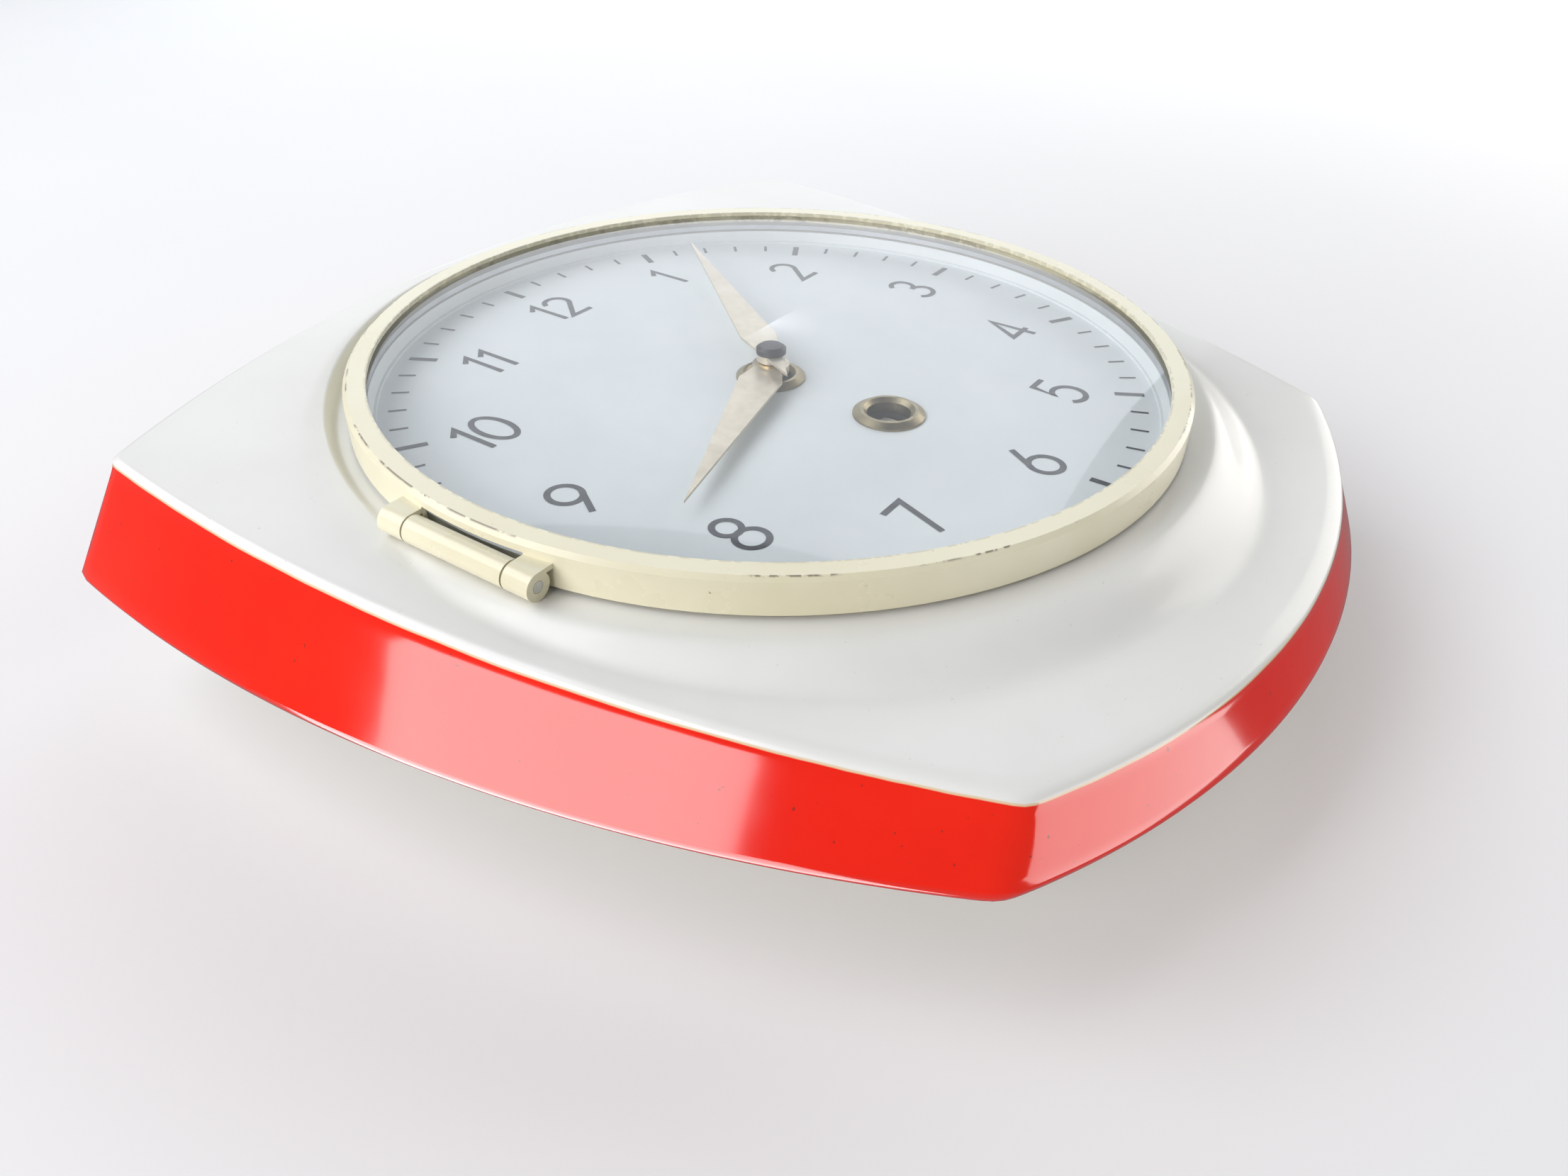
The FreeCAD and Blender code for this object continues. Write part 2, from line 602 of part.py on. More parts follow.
def hanging_plate():
    """A steel plate with the hanging hole, screwed inside the web."""
    body = new_body("hanging_plate")
    sketch = new_sketch(body, z="web_thick")
    draw_polygon(sketch, [("-23", "hang_drop - 6"), ("23", "hang_drop - 6"),
                          ("23", "hang_drop + 4.6"), ("-23", "hang_drop + 4.6")])
    draw_circle(sketch, "0", "hang_drop", "hang_radius")
    for side in ("-", ""):
        draw_circle(sketch, side + "20", "hang_drop", "thread_radius + screw_play")
    add_pad(body, sketch, "plate_thick")
    stand_up(body)
    places = [("-20", "hang_drop"), ("20", "hang_drop")]
    top = "web_thick + plate_thick"
    turned("hanging_screws", stepped(("thread_radius", "0.4", top),
                                     ("2.4", top, top + " + 1.4")), places)
    turned("hanging_nuts", tube("thread_radius", "2.6", "0.4", "2.2"), places)


# ---------------------------------------------------------------- support ring, dial and furniture

def support_ring():
    """The fixed ring that carries the dial, with the fixed knuckle of the bezel's hinge."""
    body = new_body("support_ring")
    inner = "ring_radius - sheet_metal"
    flange = "ring_z + sheet_metal"
    add_turning(body, [("ring_inner", "ring_z"), ("ring_radius", "ring_z"),
                       ("ring_radius", "ring_top"), (inner, "ring_top"),
                       (inner, flange), ("ring_inner", flange)])
    leaf = new_sketch(body, "XZ_Plane")
    draw_polygon(leaf, [("-hinge_x", "ring_top - sheet_metal"), ("-hinge_x", "ring_top"),
                        ("-ring_radius + 0.6", "ring_top"),
                        ("-ring_radius + 0.6", "ring_top - sheet_metal")])
    add_pad(body, leaf, "2 * knuckle_half", Midplane=True)
    knuckle = new_sketch(body, "XZ_Plane")
    draw_circle(knuckle, "-hinge_x", "hinge_z", "knuckle_radius")
    add_pad(body, knuckle, "2 * knuckle_half", Midplane=True)
    bore = new_sketch(body, "XZ_Plane")
    draw_circle(bore, "-hinge_x", "hinge_z", "pin_radius")
    add_pocket(body, bore, "4 * knuckle_half", Midplane=True)
    holes = new_sketch(body, z="ring_z")
    for x, y in CASE_SCREWS:
        draw_circle(holes, x, y, "case_screw_radius + screw_play")
    for x, y in RIVETS:
        draw_circle(holes, x, y, "thread_radius")
    add_pocket(body, holes, "sheet_metal", Reversed=True)
    stand_up(body)


def hinge_pin():
    body = new_body("hinge_pin")
    sketch = new_sketch(body, "XZ_Plane")
    draw_circle(sketch, "-hinge_x", "hinge_z", "pin_radius")
    add_pad(body, sketch, "2 * (knuckle_half + knuckle_gap + ear_length)", Midplane=True)
    stand_up(body)


def case_fixings():
    """Three bolts clamp the support ring to the ceramic, with washers and nuts behind."""
    head = "ring_z + sheet_metal"
    under = "ledge_z + washer_sink - sheet_metal"
    turned("case_screws", stepped(("case_screw_radius", "ledge_z - 5", head),
                                  ("2.3", head, head + " + 0.4")), CASE_SCREWS)
    turned("case_washers", tube("case_screw_radius + screw_play", "3.4",
                                under, under + " + sheet_metal"), CASE_SCREWS)
    turned("case_nuts", tube("case_screw_radius", "2.9", under + " - 2.4", under), CASE_SCREWS)


def dial():
    low = "ring_z + sheet_metal + 0.5"
    body = disc("dial_plate", "ring_radius - sheet_metal - dial_gap", low, "dial_thick",
                holes=[("0", "0", "eyelet_bore + 0.6"), ("0", "-winder_drop", "eyelet_bore + 0.6")])
    top = "ring_z + sheet_metal + 0.5 + dial_thick"
    rim = "ring_radius - sheet_metal - dial_gap"
    turned("dial_gasket", tube("ring_inner + 1", "ring_inner + 6", "ring_z + sheet_metal", low))
    turned("inner_ring", [("chapter_lip", top), (rim, top), (rim, "ring_top"),
                          (rim + " - chapter_wall", "ring_top"),
                          ("chapter_lip + chapter_wall", top + " + chapter_wall"),
                          ("chapter_lip", top + " + chapter_wall")])
    return body


def eyelets():
    """Brass eyelets line the hand hole and the winding hole."""
    top = "ring_z + sheet_metal + 0.5 + dial_thick"
    profile = [("eyelet_bore", "%s - eyelet_depth" % top), ("eyelet_bore + 0.5", "%s - eyelet_depth" % top),
               ("eyelet_bore + 0.5", top), ("eyelet_radius", top),
               ("eyelet_radius", "%s + 0.35" % top),
               ("eyelet_bore + 1.3", "%s + eyelet_height" % top),
               ("eyelet_bore + 0.7", "%s + eyelet_height" % top),
               ("eyelet_bore", "%s + 0.4" % top)]
    turned("centre_eyelet", profile)
    turned("winding_eyelet", profile, [WINDER])


# ---------------------------------------------------------------- bezel and glass

def bezel():
    body = new_body("bezel_ring")
    skin = "bezel_radius - sheet_metal"
    under = "bezel_top - sheet_metal"
    add_turning(body, [("bezel_lip", under), (skin, under), (skin, "bezel_foot"),
                       ("bezel_radius", "bezel_foot"), ("bezel_radius", "bezel_top - bezel_round"),
                       ("bezel_radius - bezel_round", "bezel_top"), ("bezel_lip", "bezel_top")])
    notch = new_sketch(body, "XZ_Plane")
    draw_polygon(notch, [("-bezel_radius - 1", "bezel_foot - 1"), ("-bezel_radius + 5", "bezel_foot - 1"),
                         ("-bezel_radius + 5", "hinge_z + knuckle_radius + 0.3"),
                         ("-bezel_radius - 1", "hinge_z + knuckle_radius + 0.3")])
    add_pocket(body, notch, "2 * (knuckle_half + knuckle_gap)", Midplane=True)
    for side in ("", "-"):
        hinge_ear(body, side)
    thumb = new_sketch(body, z="bezel_foot + 1")
    draw_polygon(thumb, [("bezel_radius - 0.6", "-thumb_half"),
                         ("bezel_radius + thumb_reach", "-thumb_half * 0.6"),
                         ("bezel_radius + thumb_reach", "thumb_half * 0.6"),
                         ("bezel_radius - 0.6", "thumb_half")])
    add_pad(body, thumb, "sheet_metal")
    stand_up(body)


def hinge_ear(body, side):
    """A strap of the bezel's wall, rolled round the hinge pin beyond the fixed knuckle."""
    start = "(knuckle_half + knuckle_gap)"
    offset = "-(%s + ear_length)" % start if side == "" else start
    strap = new_sketch(body, "XZ_Plane", z=offset)
    top = "hinge_z + knuckle_radius"
    draw_polygon(strap, [("-hinge_x", top), ("-hinge_x", top + " - sheet_metal"),
                         ("-bezel_radius + 1.5", top + " - sheet_metal"), ("-bezel_radius + 1.5", top)])
    add_pad(body, strap, "ear_length")
    roll = new_sketch(body, "XZ_Plane", z=offset)
    draw_circle(roll, "-hinge_x", "hinge_z", "knuckle_radius")
    add_pad(body, roll, "ear_length")
    bore = new_sketch(body, "XZ_Plane", z=offset)
    draw_circle(bore, "-hinge_x", "hinge_z", "pin_radius + hinge_play")
    add_pocket(body, bore, "ear_length", Reversed=True)


def glass():
    """A shallow dome of glass, held up against the bezel's lip by a split ring."""
    body = new_body("dial_glass")
    sketch = new_sketch(body, "XZ_Plane")
    edge_top = "bezel_top - sheet_metal - glass_drop"
    edge_low = "bezel_top - sheet_metal - glass_drop - glass_thick"
    dome = "((glass_radius)^2 + (glass_rise)^2) / (2 * glass_rise)"
    arcs = []
    for edge in (edge_low, edge_top):
        radius = number(dome)
        centre = Vector(0, number("%s + glass_rise" % edge) - radius, 0)
        half_angle = math.asin(number("glass_radius") / radius)
        arcs.append(sketch.addGeometry(Part.ArcOfCircle(
            Part.Circle(centre, OUT, radius), math.pi / 2 - half_angle, math.pi / 2)))
    corners = [("glass_radius", edge_low), ("glass_radius", edge_top)]
    rim = sketch.addGeometry(Part.LineSegment(*[Vector(number(x), number(y), 0) for x, y in corners]))
    axis = sketch.addGeometry(Part.LineSegment(
        Vector(0, number("%s + glass_rise" % edge_top), 0),
        Vector(0, number("%s + glass_rise" % edge_low), 0)))
    for first, first_end, second, second_end in ((arcs[0], 1, rim, 1), (arcs[1], 1, rim, 2),
                                                 (arcs[1], 2, axis, 1), (arcs[0], 2, axis, 2)):
        sketch.addConstraint(Sketcher.Constraint("Coincident", first, first_end, second, second_end))
    hold_point(sketch, rim, 1, *corners[0])
    hold_point(sketch, rim, 2, *corners[1])
    for arc, edge in zip(arcs, (edge_low, edge_top)):
        hold_radius(sketch, arc, dome)
        sketch.addConstraint(Sketcher.Constraint("PointOnObject", arc, 3, -2))
    sketch.addConstraint(Sketcher.Constraint("PointOnObject", axis, 1, -2))
    sketch.addConstraint(Sketcher.Constraint("PointOnObject", axis, 2, -2))
    add_feature(body, "Revolution", sketch, ReferenceAxis=(sketch, ["V_Axis"]), Angle=360.0)
    stand_up(body)
    turned("glass_ring", tube("glass_ring_inner", "bezel_radius - sheet_metal - 0.1",
                              edge_low + " - glass_ring_depth", edge_low))


# ---------------------------------------------------------------- hands

def hand(label, reach, half, belly, tail, low, bore, hub, angle):
    """A kite-shaped pressed hand on a round hub."""
    body = new_body(label)
    blade = new_sketch(body, z=low)
    draw_polygon(blade, [("0", reach), ("-(%s)" % half, belly), ("0", "-(%s)" % tail), (half, belly)])
    add_pad(body, blade, "hand_thick")
    boss = new_sketch(body, z="%s - 0.9" % low)
    draw_circle(boss, "0", "0", hub)
    add_pad(body, boss, "hand_thick + 0.9")
    hole = new_sketch(body, z="%s - 0.9" % low)
    draw_circle(hole, "0", "0", bore)
    add_pocket(body, hole, "hand_thick + 0.9", Reversed=True)
    stand_up(body, turn=angle)


def hands():
    hand("hour_hand", "hour_reach", "hour_half", "hour_belly", "hour_tail", "hour_hand_z",
         "2.4", "3.4", "hour_angle")
    hand("minute_hand", "minute_reach", "minute_half", "minute_belly", "minute_tail",
         "minute_hand_z", "1.45", "2.6", "minute_angle")
    low = "minute_hand_z + hand_thick"
    turned("hand_cap", [("0.8", low), ("cap_radius", low), ("cap_radius", "cap_top - 0.5"),
                        ("cap_radius - 0.7", "cap_top"), ("0", "cap_top"), ("0", "cap_top - 0.4"),
                        ("0.8", "cap_top - 0.4")])


# ---------------------------------------------------------------- toothed wheels and springs

def toothed_face(teeth, module, phase, low):
    """The outline of an involute wheel with stub teeth, as a face at one height."""
    pressure = math.radians(30)
    pitch = module * teeth / 2
    base = pitch * math.cos(pressure)
    tip = pitch + 0.7 * module
    root = pitch - module
    half_tooth = (math.pi / 2 - 0.24) / teeth
    involute = math.tan(pressure) - pressure
    flank = []
    for share in (0.0, 0.5, 1.0):
        radius = max(base, root) + share * (tip - max(base, root))
        roll = math.acos(base / radius)
        flank.append((radius, half_tooth + involute - (math.tan(roll) - roll)))
    if root < base:
        flank.insert(0, (root, flank[0][1]))
    points = []
    for tooth in range(int(teeth)):
        middle = math.radians(phase) + 2 * math.pi * tooth / teeth
        for radius, offset in flank:
            points.append(Vector(radius * math.cos(middle - offset), radius * math.sin(middle - offset), low))
        for radius, offset in reversed(flank):
            points.append(Vector(radius * math.cos(middle + offset), radius * math.sin(middle + offset), low))
    return Part.Face(Part.makePolygon(points + points[:1]))


def saw_face(teeth, tip, root, lean, phase, low):
    """The outline of a ratchet or escape wheel: each tooth has one steep and one long flank."""
    points = []
    for tooth in range(int(teeth)):
        start = math.radians(phase) + 2 * math.pi * tooth / teeth
        for radius, share in ((root, 0.0), (tip, lean), (tip, lean + 0.08)):
            angle = start + share * 2 * math.pi / teeth
            points.append(Vector(radius * math.cos(angle), radius * math.sin(angle), low))
    return Part.Face(Part.makePolygon(points + points[:1]))


def gear(arbor, teeth, module, phase, low, thickness):
    """A toothed solid about an arbor."""
    face = toothed_face(number(teeth), number(module), phase, number(low))
    solid = face.extrude(Vector(0, 0, number(thickness)))
    solid.translate(Vector(arbors[arbor][0], arbors[arbor][1], 0))
    return solid


def bearing_of(start, end):
    return math.degrees(math.atan2(arbors[end][1] - arbors[start][1], arbors[end][0] - arbors[start][0]))


def pinion_phase(wheel_arbor, pinion_arbor, leaves):
    """A pinion has a gap where the wheel that drives it has a tooth."""
    return bearing_of(wheel_arbor, pinion_arbor) + 180 + 180 / number(leaves)


def arbor_shaft(name, low="back_plate_z", high="front_plate_z + plate_thick"):
    """An arbor between the plates, with thin pivots in them."""
    x, y = "%s_arbor_x" % name, "%s_arbor_y" % name
    shaft = cylinder(x, y, "pivot_radius", low, high)
    body = cylinder(x, y, "arbor_radius", "back_plate_z + plate_thick + end_shake",
                    "front_plate_z - end_shake")
    return shaft.fuse(body)


def pierced(solid, name, outer, inner, low, spokes=4):
    """Cut openings between the spokes of a wheel."""
    x, y = arbors[name]
    height = number("wheel_thick") + 2
    ring = Part.makeCylinder(outer, height, Vector(x, y, number(low) - 1))
    ring = ring.cut(Part.makeCylinder(inner, height, Vector(x, y, number(low) - 1)))
    for spoke in range(spokes):
        bar = Part.makeBox(2 * outer, 1.6, height, Vector(-outer, -0.8, number(low) - 1))
        bar.rotate(Vector(0, 0, 0), OUT, 360.0 / spokes * spoke / 1.0 + 15)
        bar.translate(Vector(x, y, 0))
        ring = ring.cut(bar)
    return solid.cut(ring)


def barrel():
    """The mainspring in its drum; the drum's flange is the great wheel."""
    x, y = "barrel_arbor_x", "barrel_arbor_y"
    wheel = gear("barrel", "great_teeth", "great_module", bearing_of("barrel", "second"),
                 "barrel_low - wheel_thick", "2 * wheel_thick")
    drum = wheel.fuse(cylinder(x, y, "barrel_radius", "barrel_low", "barrel_high - 1"))
    drum = drum.cut(cylinder(x, y, "barrel_radius - 1", "barrel_low + wheel_thick", "barrel_high"))
    drum = drum.cut(cylinder(x, y, "winder_radius + pivot_play", "barrel_low - 2", "barrel_high"))
    computed("spring_barrel", drum)
    turned("barrel_cover", tube("winder_radius + pivot_play", "barrel_radius", "barrel_high - 1",
                                "barrel_high"), [WINDER])
    strip = coil(arbors["barrel"], number("winder_radius") + 1.4, number("barrel_radius") - 1.4, 10, 0.5,
                 number("barrel_low + wheel_thick") + 0.3, number("barrel_high") - 1.3)
    computed("mainspring", strip)


def coil(centre, inner, outer, turns, thickness, low, high):
    """A flat spiral strip wound about a centre."""
    steps = int(turns * 24)
    inner_row, outer_row = [], []
    for step in range(steps + 1):
        angle = 2 * math.pi * turns * step / steps
        radius = inner + (outer - inner) * step / steps
        for row, offset in ((inner_row, -thickness / 2), (outer_row, thickness / 2)):
            row.append(Vector(centre[0] + (radius + offset) * math.cos(angle),
                              centre[1] + (radius + offset) * math.sin(angle), low))
    outline = inner_row + outer_row[::-1]
    face = Part.Face(Part.makePolygon(outline + outline[:1]))
    return face.extrude(Vector(0, 0, high - low))


def winding():
    """The winding arbor with its square, the ratchet wheel, the click and its spring."""
    body = new_body("winding_arbor")
    top = "front_plate_z + plate_thick"
    add_turning(body, stepped(("pivot_radius * 3", "back_plate_z", "back_plate_z + plate_thick + end_shake"),
                              ("winder_radius", "back_plate_z + plate_thick + end_shake", top + " - 0.2"),
                              ("winder_radius - 0.2", top + " - 0.2", "front_plate_z + 3.4")), *WINDER)
    square = new_sketch(body, z="front_plate_z + 3.4")
    draw_polygon(square, [("-square_half", "-winder_drop - square_half"),
                          ("square_half", "-winder_drop - square_half"),
                          ("square_half", "-winder_drop + square_half"),
                          ("-square_half", "-winder_drop + square_half")])
    add_pad(body, square, "6.0")
    stand_up(body)
    x, y = arbors["barrel"]
    low = number("front_plate_z + plate_thick") + 0.3
    tip = number("ratchet_radius")
    wheel = saw_face(number("ratchet_teeth"), tip, tip - 1.1, 0.85, 0.0, low).extrude(Vector(0, 0, 1.6))
    wheel.translate(Vector(x, y, 0))
    wheel = wheel.cut(cylinder("0", "-winder_drop", "winder_radius - 0.2", "0", "60"))
    computed("ratchet_wheel", wheel)
    click_and_spring(low)


def click_and_spring(low):
    """The click pivots on a shouldered screw and rests in the ratchet wheel's teeth."""
    x, y = arbors["barrel"]
    tip = number("ratchet_radius")
    nose = Vector(x + (tip - 0.2) * math.cos(math.radians(61.6)),
                  y + (tip - 0.2) * math.sin(math.radians(61.6)), low)
    pivot = Vector(x + 12.5, y + 9.0, low)
    reach = pivot - nose
    across = Vector(-reach.y, reach.x, 0).normalize()
    tail = pivot + Vector(3.2, -1.6, 0)
    outline = [nose, nose + reach * 0.32 + across * 1.5, pivot + across * 2.2, tail + across * 0.4,
               tail - across * 0.9, pivot - across * 2.2, nose + reach * 0.32 - across * 0.4]
    click = Part.Face(Part.makePolygon(outline + outline[:1])).extrude(Vector(0, 0, 1.4))
    size("click_x", pivot.x, "worked out: click pivot, x")
    size("click_y", pivot.y, "worked out: click pivot, y")
    document.recompute()
    click = click.fuse(cylinder("click_x", "click_y", "2.2", low, low + 1.4))
    click = click.cut(cylinder("click_x", "click_y", "1.25", low - 1, low + 3))
    computed("click", click)
    plate_top = "front_plate_z + plate_thick"
    turned("click_screw", stepped(("0.9", "front_plate_z", plate_top), ("1.2", plate_top, low + 1.5),
                                  ("2.0", low + 1.5, low + 2.3)), [("click_x", "click_y")])
    spring = Part.makeBox(0.4, 15.0, 1.0, Vector(pivot.x + 3.9, pivot.y - 16.0, low + 0.2))
    foot = Part.makeCylinder(1.6, 1.4, Vector(pivot.x + 4.1, pivot.y - 16.5, low - 0.3))
    computed("click_spring", spring.fuse(foot))


def going_train():
    """Second, centre, third, fourth and escape wheels, each fast on its own arbor."""
    thickness = "wheel_thick"
    face = "pinion_face"
    half = " - (pinion_face - wheel_thick) / 2"
    second = arbor_shaft("second").fuse(
        gear("second", "second_teeth", "second_module", bearing_of("second", "centre"),
             "second_wheel_z", thickness))
    second = pierced(second, "second", 10.4, 3.2, "second_wheel_z")
    second = second.fuse(gear("second", "second_leaves", "great_module",
                              pinion_phase("barrel", "second", "second_leaves"),
                              "barrel_low - wheel_thick - 0.3", "2 * wheel_thick + 0.6"))
    computed("second_wheel", second)
    shaft = cylinder("0", "0", "pivot_radius * 1.5", "back_plate_z", "front_plate_z + plate_thick + 0.4")
    shaft = shaft.fuse(cylinder("0", "0", "arbor_radius", "back_plate_z + plate_thick + end_shake",
                                "front_plate_z - end_shake"))
    shaft = shaft.fuse(cylinder("0", "0", "0.8", "front_plate_z", "cap_top - 0.4"))
    centre = shaft.fuse(gear("centre", "centre_teeth", "centre_module", bearing_of("centre", "third"),
                             "centre_wheel_z", thickness))
    centre = pierced(centre, "centre", 11.2, 3.0, "centre_wheel_z")
    centre = centre.fuse(gear("centre", "centre_leaves", "second_module",
                              pinion_phase("second", "centre", "centre_leaves"),
                              "second_wheel_z" + half, face))
    computed("centre_wheel", centre)
    third = arbor_shaft("third").fuse(
        gear("third", "third_teeth", "third_module", bearing_of("third", "fourth"),
             "third_wheel_z", thickness))
    third = pierced(third, "third", 9.0, 2.8, "third_wheel_z")
    third = third.fuse(gear("third", "third_leaves", "centre_module",
                            pinion_phase("centre", "third", "third_leaves"),
                            "centre_wheel_z" + half, face))
    computed("third_wheel", third)
    fourth = arbor_shaft("fourth").fuse(
        gear("fourth", "fourth_teeth", "fourth_module", bearing_of("fourth", "escape"),
             "fourth_wheel_z", thickness))
    fourth = pierced(fourth, "fourth", 8.2, 2.6, "fourth_wheel_z")
    fourth = fourth.fuse(gear("fourth", "fourth_leaves", "third_module",
                              pinion_phase("third", "fourth", "fourth_leaves"),
                              "third_wheel_z" + half, face))
    computed("fourth_wheel", fourth)
    x, y = arbors["escape"]
    tip = number("escape_radius")
    saw = saw_face(number("escape_teeth"), tip, tip - 1.6, 0.5, 0.0, number("escape_wheel_z"))
    saw = saw.extrude(Vector(0, 0, number(thickness)))
    saw.translate(Vector(x, y, 0))
    escape = arbor_shaft("escape").fuse(saw)
    escape = escape.fuse(gear("escape", "escape_leaves", "fourth_module",
                              pinion_phase("fourth", "escape", "escape_leaves"),
                              "fourth_wheel_z" + half, face))
    computed("escape_wheel", escape)


def escapement():
    """Pin-pallet fork and balance; the pins stand clear of the escape wheel's tip circle."""
    x, y = arbors["pallet"]
    low = number("escape_wheel_z")
    toward = bearing_of("pallet", "balance")
    arm = Part.makeBox(8.6, 1.2, 0.8, Vector(0, -0.6, low))
    arm.rotate(Vector(0, 0, 0), OUT, toward)
    cross = Part.makeBox(1.4, 7.6, 0.8, Vector(-0.7, -3.8, low))
    fork = arm.fuse(cross)
    fork.translate(Vector(x, y, 0))
    for side in (-1, 1):
        fork = fork.fuse(Part.makeCylinder(0.3, 2.0, Vector(x + 0.2, y + side * 3.3, low)))
    fork = fork.fuse(cylinder("pallet_arbor_x", "pallet_arbor_y", "arbor_radius - 0.2",
                              "back_plate_z + plate_thick + end_shake", "front_plate_z - end_shake"))
    fork = fork.fuse(cylinder("pallet_arbor_x", "pallet_arbor_y", "pivot_radius - 0.2", "back_plate_z",
                              "front_plate_z + plate_thick"))
    computed("pallet_fork", fork)
    bx, by = arbors["balance"]
    rim = number("balance_radius")
    level = number("balance_wheel_z")
    ring = Part.makeCylinder(rim, 1.4, Vector(bx, by, level))
    ring = ring.cut(Part.makeCylinder(rim - 1.3, 1.4, Vector(bx, by, level)))
    for degrees in (0, 90):
        spoke = Part.makeBox(2 * rim - 1.6, 1.2, 1.0, Vector(-rim + 0.8, -0.6, level + 0.2))
        spoke.rotate(Vector(0, 0, 0), OUT, degrees)
        spoke.translate(Vector(bx, by, 0))
        ring = ring.fuse(spoke)
    ring = ring.fuse(cylinder("balance_arbor_x", "balance_arbor_y", "arbor_radius",
                              "back_plate_z + plate_thick + 1.2", "front_plate_z - 1.2"))
    ring = ring.fuse(cylinder("balance_arbor_x", "balance_arbor_y", "2.0", "escape_wheel_z - 0.2",
                              "escape_wheel_z + 1.0"))
    computed("balance_wheel", ring)
    strip = coil((bx, by), number("arbor_radius") + 0.35, 6.2, 7, 0.12, number("hairspring_z"),
                 number("hairspring_z") + 0.5)
    computed("hairspring", strip)
    spot = [("balance_arbor_x", "balance_arbor_y")]
    turned("balance_front_screw", stepped(("1.6", "front_plate_z - 1.0", "front_plate_z + plate_thick"),
                                          ("2.6", "front_plate_z + plate_thick",
                                           "front_plate_z + plate_thick + 1.0")), spot)
    turned("balance_back_screw", stepped(("2.6", "back_plate_z - 2.4", "back_plate_z - 1.2"),
                                         ("1.6", "back_plate_z - 1.2", "back_plate_z + plate_thick + 1.0")),
           spot)
    stud = Part.makeCylinder(0.7, number("hairspring_z + 0.6 - back_plate_z"),
                             Vector(bx - 7.0, by, number("back_plate_z")))
    computed("hairspring_stud", stud)


def regulator():
    """The regulator lever turns about the rear balance screw, outside the back plate."""
    body = new_body("regulator_lever")
    sketch = new_sketch(body, z="-0.9")
    draw_polygon(sketch, [("-1.2", "0"), ("1.2", "0"), ("0.7", "-17"), ("-0.7", "-17")])
    add_pad(body, sketch, "0.7")
    hub = new_sketch(body, z="-0.9")
    draw_circle(hub, "0", "0", "3.0")
    add_pad(body, hub, "0.7")
    bore = new_sketch(body, z="-0.9")
    draw_circle(bore, "0", "0", "1.6 + pivot_play")
    add_pocket(body, bore, "0.7", Reversed=True)
    stand_up(body, "balance_arbor_x", "balance_arbor_y")
    bind(body, "Placement.Base.y", HANG_LEVEL + " - back_plate_z")


def motion_work():
    """Cannon pinion, minute wheel and hour wheel gear the hour hand down twelve to one."""
    cannon = gear("centre", "cannon_leaves", "cannon_module", bearing_of("centre", "minute"),
                  "cannon_z", "2.2")
    cannon = cannon.fuse(cylinder("0", "0", "1.45", "cannon_z", "minute_hand_z + hand_thick"))
    cannon = cannon.cut(cylinder("0", "0", "0.8", "0", "60"))
    computed("cannon_pinion", cannon)
    wheel = gear("minute", "minute_wheel_teeth", "cannon_module",
                 pinion_phase("centre", "minute", "minute_wheel_teeth"), "cannon_z + 0.5", "wheel_thick")
    hour_module = number("cannon_module * (cannon_leaves + minute_wheel_teeth)"
                         " / (minute_leaves + hour_teeth)")
    size("hour_module", hour_module, "worked out: module of the hour wheel")
    document.recompute()
    wheel = wheel.fuse(gear("minute", "minute_leaves", "hour_module", bearing_of("minute", "centre"),
                            "cannon_z + 0.5 + wheel_thick", "3.0"))
    wheel = wheel.cut(cylinder("minute_arbor_x", "minute_arbor_y", "arbor_radius + pivot_play", "0", "60"))
    computed("minute_wheel", wheel)
    turned("minute_stud", stepped(("arbor_radius", "front_plate_z", "front_plate_z + plate_thick"),
                                  ("arbor_radius + 0.5", "front_plate_z + plate_thick",
                                   "front_plate_z + plate_thick + 0.8"),
                                  ("arbor_radius", "front_plate_z + plate_thick + 0.8",
                                   "mount_plate_z - 0.5")), [("minute_arbor_x", "minute_arbor_y")])
    hour = gear("centre", "hour_teeth", "hour_module", pinion_phase("minute", "centre", "hour_teeth"),
                "hour_wheel_z", "wheel_thick")
    hour = hour.fuse(cylinder("0", "0", "2.4", "hour_wheel_z", "hour_hand_z + hand_thick + 0.3"))
    hour = hour.cut(cylinder("0", "0", "1.45 + 0.1", "0", "60"))
    computed("hour_wheel", hour)


# ---------------------------------------------------------------- plates, posts and cover

